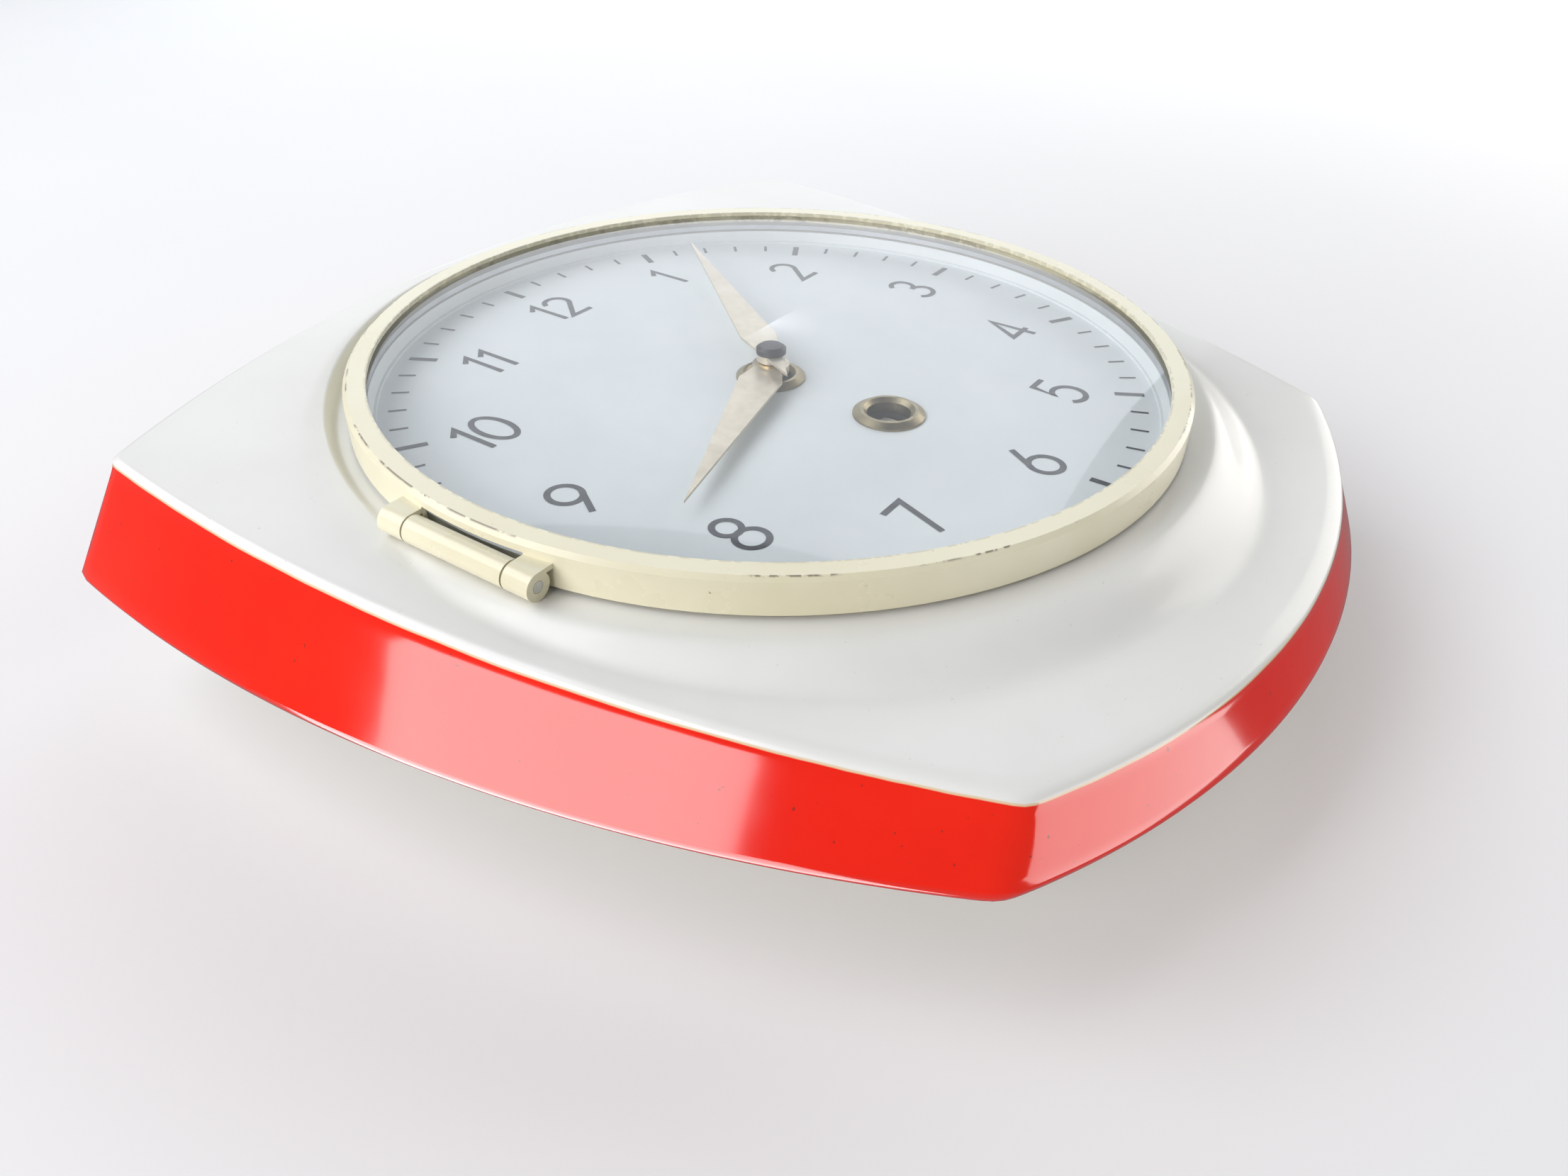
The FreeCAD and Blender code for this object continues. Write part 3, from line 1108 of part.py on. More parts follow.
def plates():
    middle = ("0", "-plate_drop")
    bores = []
    for name in ("second", "third", "fourth", "escape"):
        bores.append((name + "_arbor_x", name + "_arbor_y", "pivot_radius + pivot_play"))
    bores.append(("pallet_arbor_x", "pallet_arbor_y", "pivot_radius - 0.2 + pivot_play"))
    screws = [(x, y, "thread_radius") for x, y in PILLARS]
    balance = ("balance_arbor_x", "balance_arbor_y", "1.6")
    disc("front_plate", "plate_radius", "front_plate_z", "plate_thick", middle,
         bores + screws + [balance, ("0", "0", "pivot_radius * 1.5 + pivot_play"),
                           ("0", "-winder_drop", "winder_radius + pivot_play"),
                           ("click_x", "click_y", "0.9"),
                           ("minute_arbor_x", "minute_arbor_y", "arbor_radius")]
         + [(x, y, "thread_radius") for x, y in POSTS])
    disc("back_plate", "plate_radius", "back_plate_z", "plate_thick", middle,
         bores + screws + [balance, ("0", "0", "pivot_radius * 1.5 + pivot_play"),
                           ("0", "-winder_drop", "pivot_radius * 3 + pivot_play"),
                           ("balance_arbor_x - 7", "balance_arbor_y", "0.7")])
    top = "front_plate_z + plate_thick"
    turned("plate_pillars", stepped(("thread_radius", "back_plate_z - 2.2", "back_plate_z + plate_thick"),
                                    ("post_radius - 0.3", "back_plate_z + plate_thick", "front_plate_z"),
                                    ("thread_radius", "front_plate_z", top)), PILLARS)
    turned("pillar_nuts", tube("thread_radius", "2.4", "back_plate_z - 2.0", "back_plate_z"), PILLARS)
    turned("movement_posts", stepped(("thread_radius", "front_plate_z - 0.6", top),
                                     ("post_radius", top, "mount_plate_z"),
                                     ("thread_radius", "mount_plate_z", "mount_plate_z + 0.9")), POSTS)
    turned("post_nuts", tube("thread_radius", "2.4", "front_plate_z - 1.6", "front_plate_z"), POSTS)


def mounting():
    """The mounting plate carries the movement and is riveted behind the support ring."""
    posts = [(x, y, "thread_radius") for x, y in POSTS]
    rivets = [(x, y, "thread_radius") for x, y in RIVETS]
    screws = [(x, y, "thread_radius") for x, y in COVER_SCREWS]
    disc("mounting_plate", "mount_plate_radius", "mount_plate_z", "mount_plate_thick",
         holes=[("0", "0", "4.5"), ("0", "-winder_drop", "4.5")] + posts + rivets + screws)
    low = "mount_plate_z - 0.7"
    top = "ring_z + sheet_metal"
    turned("ring_rivets", stepped(("2.2", low, "mount_plate_z"), ("thread_radius", "mount_plate_z", top)),
           RIVETS)


def dust_cover():
    """A drawn steel can keeps kitchen grease out of the movement."""
    body = new_body("dust_cover")
    flange = "cover_radius + cover_flange"
    top = "mount_plate_z"
    inner = "cover_radius - cover_wall"
    add_turning(body, [("0", "cover_floor"), ("cover_radius", "cover_floor"),
                       ("cover_radius", top + " - cover_wall"), (flange, top + " - cover_wall"),
                       (flange, top), (inner, top), (inner, "cover_floor + cover_wall"),
                       ("0", "cover_floor + cover_wall")], "0", "-plate_drop")
    document.recompute()
    holes = new_sketch(body, z=top + " - cover_wall")
    for x, y in COVER_SCREWS:
        draw_circle(holes, x, y, "thread_radius + screw_play")
    add_pocket(body, holes, "cover_wall", Reversed=True)
    slot = new_sketch(body, z="cover_floor")
    draw_polygon(slot, [("balance_arbor_x - 8", "balance_arbor_y - 18"),
                        ("balance_arbor_x + 8", "balance_arbor_y - 18"),
                        ("balance_arbor_x + 7", "balance_arbor_y - 14"),
                        ("balance_arbor_x - 7", "balance_arbor_y - 14")])
    add_pocket(body, slot, "cover_wall", Reversed=True)
    stand_up(body)
    under = "mount_plate_z - cover_wall"
    turned("cover_screws", stepped(("2.2", under + " - 1.2", under),
                                   ("thread_radius", under, "mount_plate_z + mount_plate_thick")),
           COVER_SCREWS)


# ---------------------------------------------------------------- build, check and write

def build():
    ceramic_case()
    hanging_plate()
    support_ring()
    hinge_pin()
    case_fixings()
    dial()
    eyelets()
    bezel()
    glass()
    hands()
    barrel()
    winding()
    going_train()
    escapement()
    regulator()
    motion_work()
    plates()
    mounting()
    dust_cover()


def check_and_write():
    document.recompute()
    for item in document.Objects:
        if "Invalid" in item.State or "Error" in item.State:
            raise RuntimeError("failed: " + item.Label)
    os.makedirs("parts", exist_ok=True)
    for part in sub_parts:
        shape = part.Shape
        if shape.isNull() or not shape.isValid() or not shape.Solids:
            raise RuntimeError("bad shape: " + part.Label)
        shape.exportStep(os.path.join("parts", part.Label + ".step"))


build()
check_and_write()
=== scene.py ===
import math

import bmesh
import bpy
from mathutils import Matrix, Vector


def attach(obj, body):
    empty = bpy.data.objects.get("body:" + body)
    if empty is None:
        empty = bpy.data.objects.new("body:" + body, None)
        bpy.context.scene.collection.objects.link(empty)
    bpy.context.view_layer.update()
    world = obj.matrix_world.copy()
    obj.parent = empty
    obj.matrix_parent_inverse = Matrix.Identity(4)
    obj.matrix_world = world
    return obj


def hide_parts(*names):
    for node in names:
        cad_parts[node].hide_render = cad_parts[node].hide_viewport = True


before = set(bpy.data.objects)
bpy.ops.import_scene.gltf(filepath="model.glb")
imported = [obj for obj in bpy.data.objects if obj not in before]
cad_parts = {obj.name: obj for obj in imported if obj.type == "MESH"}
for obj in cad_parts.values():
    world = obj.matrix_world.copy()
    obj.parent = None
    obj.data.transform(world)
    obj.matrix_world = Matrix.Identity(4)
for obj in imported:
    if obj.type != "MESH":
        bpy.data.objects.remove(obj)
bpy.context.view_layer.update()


# ---------------------------------------------------------------------------
# Ceramic case. A slip-cast shield with a white glaze on the face and a red-orange
# glaze on the flared band, fired to a high gloss. The helpers here also serve the
# pieces further down: everything is drawn in clock millimetres (x to three, y to
# twelve, z out of the wall) and laid into the frame.
# ---------------------------------------------------------------------------
HANG_Y = 52.0
HANG_Z = 5.6
DIAL_Z = 39.1
FACE_Z = 38.6
FACE_SLOPE = math.tan(math.radians(3.6))
WHITE_RADIUS = 79.5
WHITE_Z = 30.0


def lay(x, y, z):
    """Clock millimetres to frame metres."""
    return (x / 1000, (HANG_Z - z) / 1000, (y - HANG_Y) / 1000)


def shader(name):
    """A new node material: returns it with its tree and principled node."""
    material = bpy.data.materials.new(name)
    material.use_nodes = True
    tree = material.node_tree
    return material, tree, tree.nodes["Principled BSDF"]


def node(tree, kind, **settings):
    """Add a node; settings with a leading underscore are input values."""
    new = tree.nodes.new("ShaderNode" + kind)
    for key, value in settings.items():
        if key.startswith("_"):
            new.inputs[key[1:].replace("_", " ")].default_value = value
        else:
            setattr(new, key, value)
    return new


def link(tree, output, target):
    tree.links.new(output, target)


def noise(tree, scale, detail=4.0, roughness=0.55):
    """Fractal noise in object space, in features per metre."""
    place = node(tree, "TexCoord")
    texture = node(tree, "TexNoise", _Scale=scale, _Detail=detail, _Roughness=roughness)
    link(tree, place.outputs["Object"], texture.inputs["Vector"])
    return texture.outputs["Fac"]


def ramp(tree, source, stops):
    """Colour ramp through (position, colour) stops."""
    colours = node(tree, "ValToRGB")
    elements = colours.color_ramp.elements
    while len(elements) < len(stops):
        elements.new(0.5)
    for element, (place, colour) in zip(elements, stops):
        element.position = place
        element.color = (*colour, 1.0) if len(colour) == 3 else colour
    link(tree, source, colours.inputs["Fac"])
    return colours.outputs["Color"]


def grey(tree, source, low, high, dark=0.0, light=1.0):
    """A grey ramp between two positions."""
    return ramp(tree, source, [(low, (dark,) * 3), (high, (light,) * 3)])


def mix(tree, factor, first, second):
    """Mix two colours; each may be a socket or a colour."""
    blend = node(tree, "Mix", data_type="RGBA")
    sockets = (blend.inputs["Factor"], blend.inputs[6], blend.inputs[7])
    for socket, value in zip(sockets, (factor, first, second)):
        if isinstance(value, (int, float)):
            socket.default_value = value
        elif isinstance(value, tuple):
            socket.default_value = (*value, 1.0)
        else:
            link(tree, value, socket)
    return blend.outputs[2]


def maths(tree, operation, first, second=0.0, third=0.0, clamp=False):
    step = node(tree, "Math", operation=operation, use_clamp=clamp)
    for socket, value in zip(step.inputs, (first, second, third)):
        if isinstance(value, (int, float)):
            socket.default_value = value
        else:
            link(tree, value, socket)
    return step.outputs[0]


def band(tree, value, middle, half):
    """1 at the middle of a range of a value, falling to 0 at its ends."""
    away = maths(tree, "ABSOLUTE", maths(tree, "SUBTRACT", value, middle))
    return maths(tree, "SUBTRACT", 1.0, maths(tree, "DIVIDE", away, half), clamp=True)


def bump(tree, principled, height, distance, strength=1.0):
    step = node(tree, "Bump", _Distance=distance, _Strength=strength)
    link(tree, height, step.inputs["Height"])
    link(tree, step.outputs["Normal"], principled.inputs["Normal"])


def clock_axes(tree):
    """Clock coordinates in millimetres as three sockets."""
    place = node(tree, "TexCoord")
    split = node(tree, "SeparateXYZ")
    link(tree, place.outputs["Object"], split.inputs["Vector"])
    x = maths(tree, "MULTIPLY", split.outputs["X"], 1000.0)
    y = maths(tree, "MULTIPLY_ADD", split.outputs["Z"], 1000.0, HANG_Y)
    z = maths(tree, "MULTIPLY_ADD", split.outputs["Y"], -1000.0, HANG_Z)
    return x, y, z


def from_axis(tree, x, y):
    """Distance from the line through the dial centre."""
    squares = maths(tree, "ADD", maths(tree, "MULTIPLY", x, x), maths(tree, "MULTIPLY", y, y))
    return maths(tree, "SQRT", squares)


def paint(name, material):
    """Give a CAD node one material."""
    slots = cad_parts[name].material_slots
    if not slots:
        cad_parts[name].data.materials.append(material)
    for slot in slots:
        slot.material = material


def glaze():
    """White over red-orange, parted by a thin warm line just below the face's edge."""
    material, tree, principled = shader("glaze")
    x, y, z = clock_axes(tree)
    plane = maths(tree, "MULTIPLY_ADD", y, FACE_SLOPE, FACE_Z)
    waver = maths(tree, "MULTIPLY_ADD", noise(tree, 60.0, 3.0), 0.6, -0.3)
    above = maths(tree, "SUBTRACT", maths(tree, "ADD", z, waver), plane)
    above = maths(tree, "MULTIPLY_ADD", above, 0.25, 0.75)
    shade = noise(tree, 25.0, 5.0)
    red = ramp(tree, shade, [(0.3, (0.78, 0.008, 0.001)), (0.7, (0.90, 0.018, 0.002))])
    speck = grey(tree, noise(tree, 900.0, 2.0), 0.25, 0.28, 1.0, 0.0)
    red = mix(tree, speck, red, (0.35, 0.02, 0.01))
    white = ramp(tree, shade, [(0.3, (0.74, 0.74, 0.71)), (0.7, (0.80, 0.80, 0.775))])
    dust = grey(tree, noise(tree, 1100.0, 3.0), 0.71, 0.75)
    white = mix(tree, maths(tree, "MULTIPLY", dust, 0.3), white, (0.42, 0.36, 0.28))
    edge = ramp(tree, above, [(0.40, (0.0,) * 3), (0.45, (1.0,) * 3)])
    colour = mix(tree, edge, red, (0.80, 0.60, 0.38))
    top = grey(tree, above, 0.49, 0.53)
    radius = from_axis(tree, x, y)
    near_bezel = maths(tree, "LESS_THAN", radius, WHITE_RADIUS)
    seat = maths(tree, "MULTIPLY", near_bezel, maths(tree, "GREATER_THAN", z, WHITE_Z))
    pale = maths(tree, "MAXIMUM", top, seat)
    colour = mix(tree, pale, colour, white)
    under = ramp(tree, maths(tree, "MULTIPLY_ADD", z, 0.1, -1.4),
                 [(0.49, (1.0,) * 3), (0.53, (0.0,) * 3)])
    colour = mix(tree, under, colour, (0.60, 0.56, 0.50))
    link(tree, colour, principled.inputs["Base Color"])
    shine = grey(tree, noise(tree, 18.0, 4.0), 0.3, 0.7, 0.09, 0.15)
    link(tree, maths(tree, "MULTIPLY_ADD", pale, 0.2, shine), principled.inputs["Roughness"])
    principled.inputs["IOR"].default_value = 1.5
    link(tree, maths(tree, "MULTIPLY_ADD", pale, -0.25, 0.35), principled.inputs["Coat Weight"])
    principled.inputs["Coat Roughness"].default_value = 0.06
    bump(tree, principled, noise(tree, 45.0, 2.0), 0.0005, 0.3)
    return material


RIM_OUTLINE = (98.2, 69.5, 71.2, 84.6, 19.8, 19.8, 12.0)
FACE_OUTLINE = (90.4, 62.8, 65.4, 83.3, 18.5, 17.0, 9.6)
TURNS = 480
INNER_STEPS = 6  # the last points of a profile, whose skin is bare clay
SEAT_Z = 39.4
RING_Z = 37.2
LEDGE_Z = 31.0
RIM_Z = 22.4
LIP_Z = 18.8
CAVITY_Z = 24.8
MOUTH_RADIUS = 66.0
POCKET_RADIUS = 72.9
STEP_LOW = 78.2  # where the seat's step starts when the face is lower than the seat
STEP_HIGH = 76.0  # and when it is higher
STEP_MIDDLE = 84.0
WALL = 6.0
EDGE_ROUND = 1.5
COLLAR_INSET = 25.0
COLLAR_WALL = 6.0
SHARP_CORNER = 220.0
COLLAR_CORNER = 30.0
CAVITY_CORNER = 60.0


def shield(outline):
    """The four circles (centre x, centre y, radius) whose overlap is the shield."""
    top_half, top_y, low_half, low_y, crest, keel, bulge = outline
    top = (top_half ** 2 + crest ** 2) / (2 * crest)
    low = (low_half ** 2 + keel ** 2) / (2 * keel)
    chord = math.hypot(top_half - low_half, top_y + low_y)
    side = (chord ** 2 / 4 + bulge ** 2) / (2 * bulge)
    inward = (side - bulge) / chord
    side_x = (top_half + low_half) / 2 - (top_y + low_y) * inward
    side_y = (top_y - low_y) / 2 + (top_half - low_half) * inward
    return [(0.0, top_y + crest - top, top), (0.0, low - low_y - keel, low),
            (side_x, side_y, side), (-side_x, side_y, side)]


def reach(circles, angle, inset, sharpness):
    """How far the shield reaches in a direction, with softened corners."""
    dx, dy = math.cos(angle), math.sin(angle)
    exits = []
    for cx, cy, radius in circles:
        along = cx * dx + cy * dy
        exits.append(along + math.sqrt(along ** 2 - cx ** 2 - cy ** 2 + (radius - inset) ** 2))
    nearest = min(exits)
    return nearest * sum((nearest / far) ** sharpness for far in exits) ** (-1.0 / sharpness)


def smooth_step(value, low, high):
    share = min(1.0, max(0.0, (value - low) / (high - low)))
    return share * share * (3.0 - 2.0 * share)


def face_height(y):
    return FACE_Z + FACE_SLOPE * y


def rim_edge(angle, inset, sharpness=SHARP_CORNER):
    return reach(rim_circles, angle, inset, sharpness)


def face_edge(angle, inset, sharpness=SHARP_CORNER):
    return reach(face_circles, angle, inset, sharpness)


def seat_profile(dy):
    """The mouth, the ring's pocket, the seat and its soft step to the face."""
    points = [(MOUTH_RADIUS, LEDGE_Z), (MOUTH_RADIUS, RING_Z - 0.2), (MOUTH_RADIUS + 0.2, RING_Z),
              (POCKET_RADIUS - 0.2, RING_Z), (POCKET_RADIUS, RING_Z + 0.2),
              (POCKET_RADIUS, SEAT_Z - 0.2), (POCKET_RADIUS + 0.2, SEAT_Z)]
    rise = face_height(STEP_MIDDLE * dy) - SEAT_Z
    share = smooth_step(rise, -1.2, 0.8)
    start = STEP_LOW + (STEP_HIGH - STEP_LOW) * share
    width = (3.5 + 1.1 * abs(rise)) * (1 - share) + (1.6 + 0.25 * abs(rise)) * share
    points.append((start, SEAT_Z))
    steps = 9
    for step in range(1, steps + 1):
        radius = start + width * step / steps
        blend = smooth_step(step / steps, 0.0, 1.0)
        points.append((radius, SEAT_Z + (face_height(radius * dy) - SEAT_Z) * blend))
    return points


def front_profile(angle, inner_radius):
    """The leaning face, its rounded edge and the flared band down to the rim."""
    dy = math.sin(angle)
    points = []
    steps = 7
    edge = face_edge(angle, EDGE_ROUND)
    for step in range(1, steps + 1):
        radius = inner_radius + (edge - inner_radius) * step / steps
        points.append((radius, face_height(radius * dy)))
    top_radius = face_edge(angle, 0.0)
    edge_z = face_height(top_radius * dy)
    for step in range(1, steps):
        turn = math.pi / 2 * step / steps
        points.append((face_edge(angle, EDGE_ROUND * (1 - math.sin(turn))),
                       edge_z - EDGE_ROUND * (1 - math.cos(turn))))
    top_z = edge_z - EDGE_ROUND
    low_radius = rim_edge(angle, 0.3)
    for step in range(steps + 1):
        share = step / steps
        points.append((top_radius + (low_radius - top_radius) * share,
                       top_z + (RIM_Z - top_z) * share))
    return points


def back_profile(angle):
    """The lip, the underside, the collar, the cavity and the ledge's underside."""
    dy = math.sin(angle)
    points = [(rim_edge(angle, inset), z) for inset, z in (
        (0.35, 21.6), (1.0, 20.2), (1.95, 19.1), (2.6, LIP_Z + 0.05), (4.0, LIP_Z))]
    points += [(rim_edge(angle, COLLAR_INSET + inset, COLLAR_CORNER), z) for inset, z in (
        (-1.4, LIP_Z), (0.0, 17.4), (0.05, 1.0), (0.9, 0.02), (5.0, 0.02), (5.95, 1.0),
        (COLLAR_WALL, CAVITY_Z))]
    points.append((rim_edge(angle, WALL + 0.2, CAVITY_CORNER), CAVITY_Z))
    roof_radius = face_edge(angle, WALL + 0.2, CAVITY_CORNER)
    ceiling = min(LEDGE_Z, face_height(MOUTH_RADIUS * dy) - WALL)
    points.append((roof_radius, max(25.4, face_height(roof_radius * dy) - WALL)))
    points += [(67.5, ceiling), (MOUTH_RADIUS, min(30.8, ceiling + 0.2))]
    return points


def case_profile(angle):
    """Points (radius, z) round the wall of the case at one direction from the dial centre."""
    seat = seat_profile(math.sin(angle))
    return seat + front_profile(angle, seat[-1][0]) + back_profile(angle)


def ceramic_mesh():
    """Rings of the wall's profile skinned right round, closed on itself."""
    profiles = [case_profile(2 * math.pi * k / TURNS) for k in range(TURNS)]
    count = len(profiles[0])
    vertices = []
    for k, profile in enumerate(profiles):
        angle = 2 * math.pi * k / TURNS
        vertices += [lay(r * math.cos(angle), r * math.sin(angle), z) for r, z in profile]
    faces = []
    for k in range(TURNS):
        here, there = k * count, (k + 1) % TURNS * count
        for step in range(count):
            after = (step + 1) % count
            faces.append((here + step, here + after, there + after, there + step))
    mesh = bpy.data.meshes.new("ceramic_shell")
    mesh.from_pydata(vertices, [], faces)
    mesh.update()
    for place, face in enumerate(mesh.polygons):
        face.material_index = 1 if place % count >= count - INNER_STEPS else 0
    return mesh


def hanging_web():
    """The web across the top of the collar, with its hanging hole and two screw holes."""
    build = bmesh.new()
    loops = [[(-30.0, 42.3), (30.0, 42.3), (30.0, 57.6), (-30.0, 57.6)]]
    for cx, radius in ((0.0, 6.2), (-20.0, 1.4), (20.0, 1.4)):
        turns = [math.tau * k / 48 for k in range(48)]
        loops.append([(cx + radius * math.cos(t), HANG_Y + radius * math.sin(t)) for t in turns])
    edges = []
    for loop in loops:
        corners = [build.verts.new(lay(x, y, 0.0)) for x, y in loop]
        edges += [build.edges.new((a, b)) for a, b in zip(corners, corners[1:] + corners[:1])]
    bmesh.ops.triangle_fill(build, use_beauty=True, edges=edges, normal=(0.0, 1.0, 0.0))
    swept_web = bmesh.ops.extrude_face_region(build, geom=build.faces[:])
    top = [part for part in swept_web["geom"] if isinstance(part, bmesh.types.BMVert)]
    bmesh.ops.translate(build, vec=(0.0, -0.005, 0.0), verts=top)
    bmesh.ops.recalc_face_normals(build, faces=build.faces[:])
    mesh = bpy.data.meshes.new("hanging_web")
    build.to_mesh(mesh)
    build.free()
    return mesh


def biscuit():
    """Bare fired clay inside the case, where no glaze was poured."""
    material, tree, principled = shader("biscuit")
    colour = ramp(tree, noise(tree, 60.0, 6.0),
                  [(0.3, (0.56, 0.51, 0.44)), (0.7, (0.66, 0.61, 0.53))])
    grit = grey(tree, noise(tree, 900.0, 3.0), 0.68, 0.74)
    colour = mix(tree, maths(tree, "MULTIPLY", grit, 0.5), colour, (0.36, 0.30, 0.24))
    link(tree, colour, principled.inputs["Base Color"])
    principled.inputs["Roughness"].default_value = 0.85
    bump(tree, principled, noise(tree, 1200.0, 4.0), 0.00006, 0.6)
    return material


rim_circles = shield(RIM_OUTLINE)
face_circles = shield(FACE_OUTLINE)
glazed = glaze()
case_piece = bpy.data.objects.new("case_shell", ceramic_mesh())
web_piece = bpy.data.objects.new("case_web", hanging_web())
for piece in (case_piece, web_piece):
    bpy.context.scene.collection.objects.link(piece)
    piece.data.materials.append(glazed)
case_piece.data.materials.append(biscuit())
bpy.ops.object.select_all(action="DESELECT")
for piece in (web_piece, case_piece):
    piece.select_set(True)
bpy.context.view_layer.objects.active = case_piece
bpy.ops.object.join()
bpy.ops.object.shade_smooth_by_angle(angle=math.radians(32))
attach(case_piece, "case")
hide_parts("ceramic_case")


# ---------------------------------------------------------------------------
# Bezel, hinge and support ring. Pressed steel with thick ivory stove enamel that
# has yellowed, worn through along the edges and stained beside the hinge.
# ---------------------------------------------------------------------------
def ivory():
    """Stove enamel: brown along the crease of the top face, stained beside the hinge."""
    material, tree, principled = shader("ivory_enamel")
    x, y, z = clock_axes(tree)
    radius = from_axis(tree, x, y)
    shade = noise(tree, 40.0, 6.0)
    colour = ramp(tree, shade, [(0.3, (0.70, 0.655, 0.47)), (0.7, (0.78, 0.745, 0.57))])
    broken = grey(tree, noise(tree, 90.0, 5.0), 0.50, 0.56)
    fine = grey(tree, noise(tree, 700.0, 4.0), 0.42, 0.50)
    crease = band(tree, radius, 73.6, 0.22)
    chips = maths(tree, "MULTIPLY", maths(tree, "MULTIPLY", crease, broken), fine)
    lip = maths(tree, "MULTIPLY", band(tree, radius, 70.6, 0.3), 0.35)
    chips = maths(tree, "MAXIMUM", chips, maths(tree, "MULTIPLY", lip, fine))
    colour = mix(tree, chips, colour, (0.16, 0.12, 0.085))
    near = maths(tree, "MULTIPLY", band(tree, y, 14.0, 9.0), grey(tree, x, -62.0, -66.0))
    stain = maths(tree, "MULTIPLY", near, grey(tree, noise(tree, 150.0, 6.0, 0.7), 0.40, 0.62))
    low = grey(tree, z, 43.6, 40.8)
    colour = mix(tree, maths(tree, "MULTIPLY", maths(tree, "MULTIPLY", stain, low), 0.75), colour,
                 (0.42, 0.27, 0.12))
    speck = grey(tree, noise(tree, 520.0, 3.0), 0.745, 0.765)
    colour = mix(tree, maths(tree, "MULTIPLY", speck, 0.7), colour, (0.26, 0.18, 0.10))
    link(tree, colour, principled.inputs["Base Color"])
    link(tree, grey(tree, shade, 0.3, 0.7, 0.24, 0.36), principled.inputs["Roughness"])
    principled.inputs["Coat Weight"].default_value = 0.25
    principled.inputs["Coat Roughness"].default_value = 0.12
    bump(tree, principled, noise(tree, 320.0, 3.0), 0.00005, 0.35)
    return material


ivory_enamel = ivory()
for name in ("bezel_ring", "support_ring"):
    paint(name, ivory_enamel)


# ---------------------------------------------------------------------------
# Glass. One shallow dome of clear glass, held under the bezel's lip.
# ---------------------------------------------------------------------------
def clear_glass():
    """Clear from both sides, with a reflection on the outer side only."""
    material, tree, principled = shader("clear_glass")
    clear = node(tree, "BsdfTransparent")
    shine = node(tree, "BsdfGlossy", _Roughness=0.03)
    rim = node(tree, "Fresnel", _IOR=1.5)
    facing = node(tree, "NewGeometry")
    outside = maths(tree, "SUBTRACT", 1.0, facing.outputs["Backfacing"])
    share = node(tree, "MixShader")
    smear = grey(tree, noise(tree, 30.0, 6.0, 0.65), 0.35, 0.75, 0.95, 1.0)
    link(tree, smear, clear.inputs["Color"])
    link(tree, maths(tree, "MULTIPLY", rim.outputs["Fac"], outside), share.inputs["Fac"])
    link(tree, clear.outputs["BSDF"], share.inputs[1])
    link(tree, shine.outputs["BSDF"], share.inputs[2])
    link(tree, share.outputs["Shader"], tree.nodes["Material Output"].inputs["Surface"])
    tree.nodes.remove(principled)
    return material


paint("dial_glass", clear_glass())


# ---------------------------------------------------------------------------
# Dial. A flat enamelled disc with the minute track and twelve figures printed in
# dark slate ink, and a pale inner ring round it. The ink is laid on as thin flat
# pieces a few hundredths of a millimetre proud of the enamel.
# ---------------------------------------------------------------------------
def dial_enamel(name, low, high):
    material, tree, principled = shader(name)
    shade = noise(tree, 35.0, 6.0)
    colour = ramp(tree, shade, [(0.3, low), (0.7, high)])
    dust = grey(tree, noise(tree, 1500.0, 3.0), 0.69, 0.73)
    colour = mix(tree, maths(tree, "MULTIPLY", dust, 0.25), colour, (0.45, 0.45, 0.42))
    link(tree, colour, principled.inputs["Base Color"])
    link(tree, grey(tree, shade, 0.3, 0.7, 0.42, 0.55), principled.inputs["Roughness"])
    bump(tree, principled, noise(tree, 1400.0, 3.0), 0.00003, 0.5)
    return material


paint("dial_plate", dial_enamel("dial_enamel", (0.70, 0.76, 0.78), (0.77, 0.82, 0.84)))
paint("inner_ring", dial_enamel("ring_enamel", (0.68, 0.73, 0.74), (0.75, 0.79, 0.80)))


def ink():
    material, tree, principled = shader("slate_ink")
    colour = ramp(tree, noise(tree, 500.0, 4.0),
                  [(0.35, (0.055, 0.065, 0.075)), (0.7, (0.10, 0.11, 0.12))])
    link(tree, colour, principled.inputs["Base Color"])
    principled.inputs["Roughness"].default_value = 0.5
    return material


slate_ink = ink()


def flat_piece(name, outlines, z, material, body="case"):
    """Flat polygons, each a list of clock (x, y), joined in one thin piece."""
    vertices = []
    faces = []
    for place, outline in enumerate(outlines):
        first = len(vertices)
        vertices += [lay(x, y, z + place % 40 * 0.0008) for x, y in outline]
        faces.append(list(range(first, first + len(outline))))
    mesh = bpy.data.meshes.new(name)
    mesh.from_pydata(vertices, [], faces)
    mesh.update()
    piece = bpy.data.objects.new(name, mesh)
    bpy.context.scene.collection.objects.link(piece)
    piece.data.materials.append(material)
    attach(piece, body)


def minute_track():
    """Sixty radial strokes, the hour strokes longer and wider."""
    strokes = []
    for minute in range(60):
        angle = math.radians(6 * minute)
        along = (math.sin(angle), math.cos(angle))
        across = (along[1], -along[0])
        inner, half = (62.7, 0.62) if minute % 5 == 0 else (64.9, 0.30)
        strokes.append([(along[0] * r + across[0] * s, along[1] * r + across[1] * s)
                        for r, s in ((inner, -half), (inner, half), (68.0, half), (68.0, -half))])
    return strokes


flat_piece("minute_track", minute_track(), DIAL_Z + 0.03, slate_ink)


# Figures are thin strokes of constant width: a stroke is a line or an arc swept by
# the pen. Each figure is drawn on a cell 1 high and placed upright round the dial.
def arc(cx, cy, rx, ry, start, end):
    """Points of an elliptic arc, in degrees anticlockwise from the right."""
    count = max(3, int(abs(end - start) / 9))
    turns = [math.radians(start + (end - start) * k / count) for k in range(count + 1)]
    return [(cx + rx * math.cos(t), cy + ry * math.sin(t)) for t in turns]


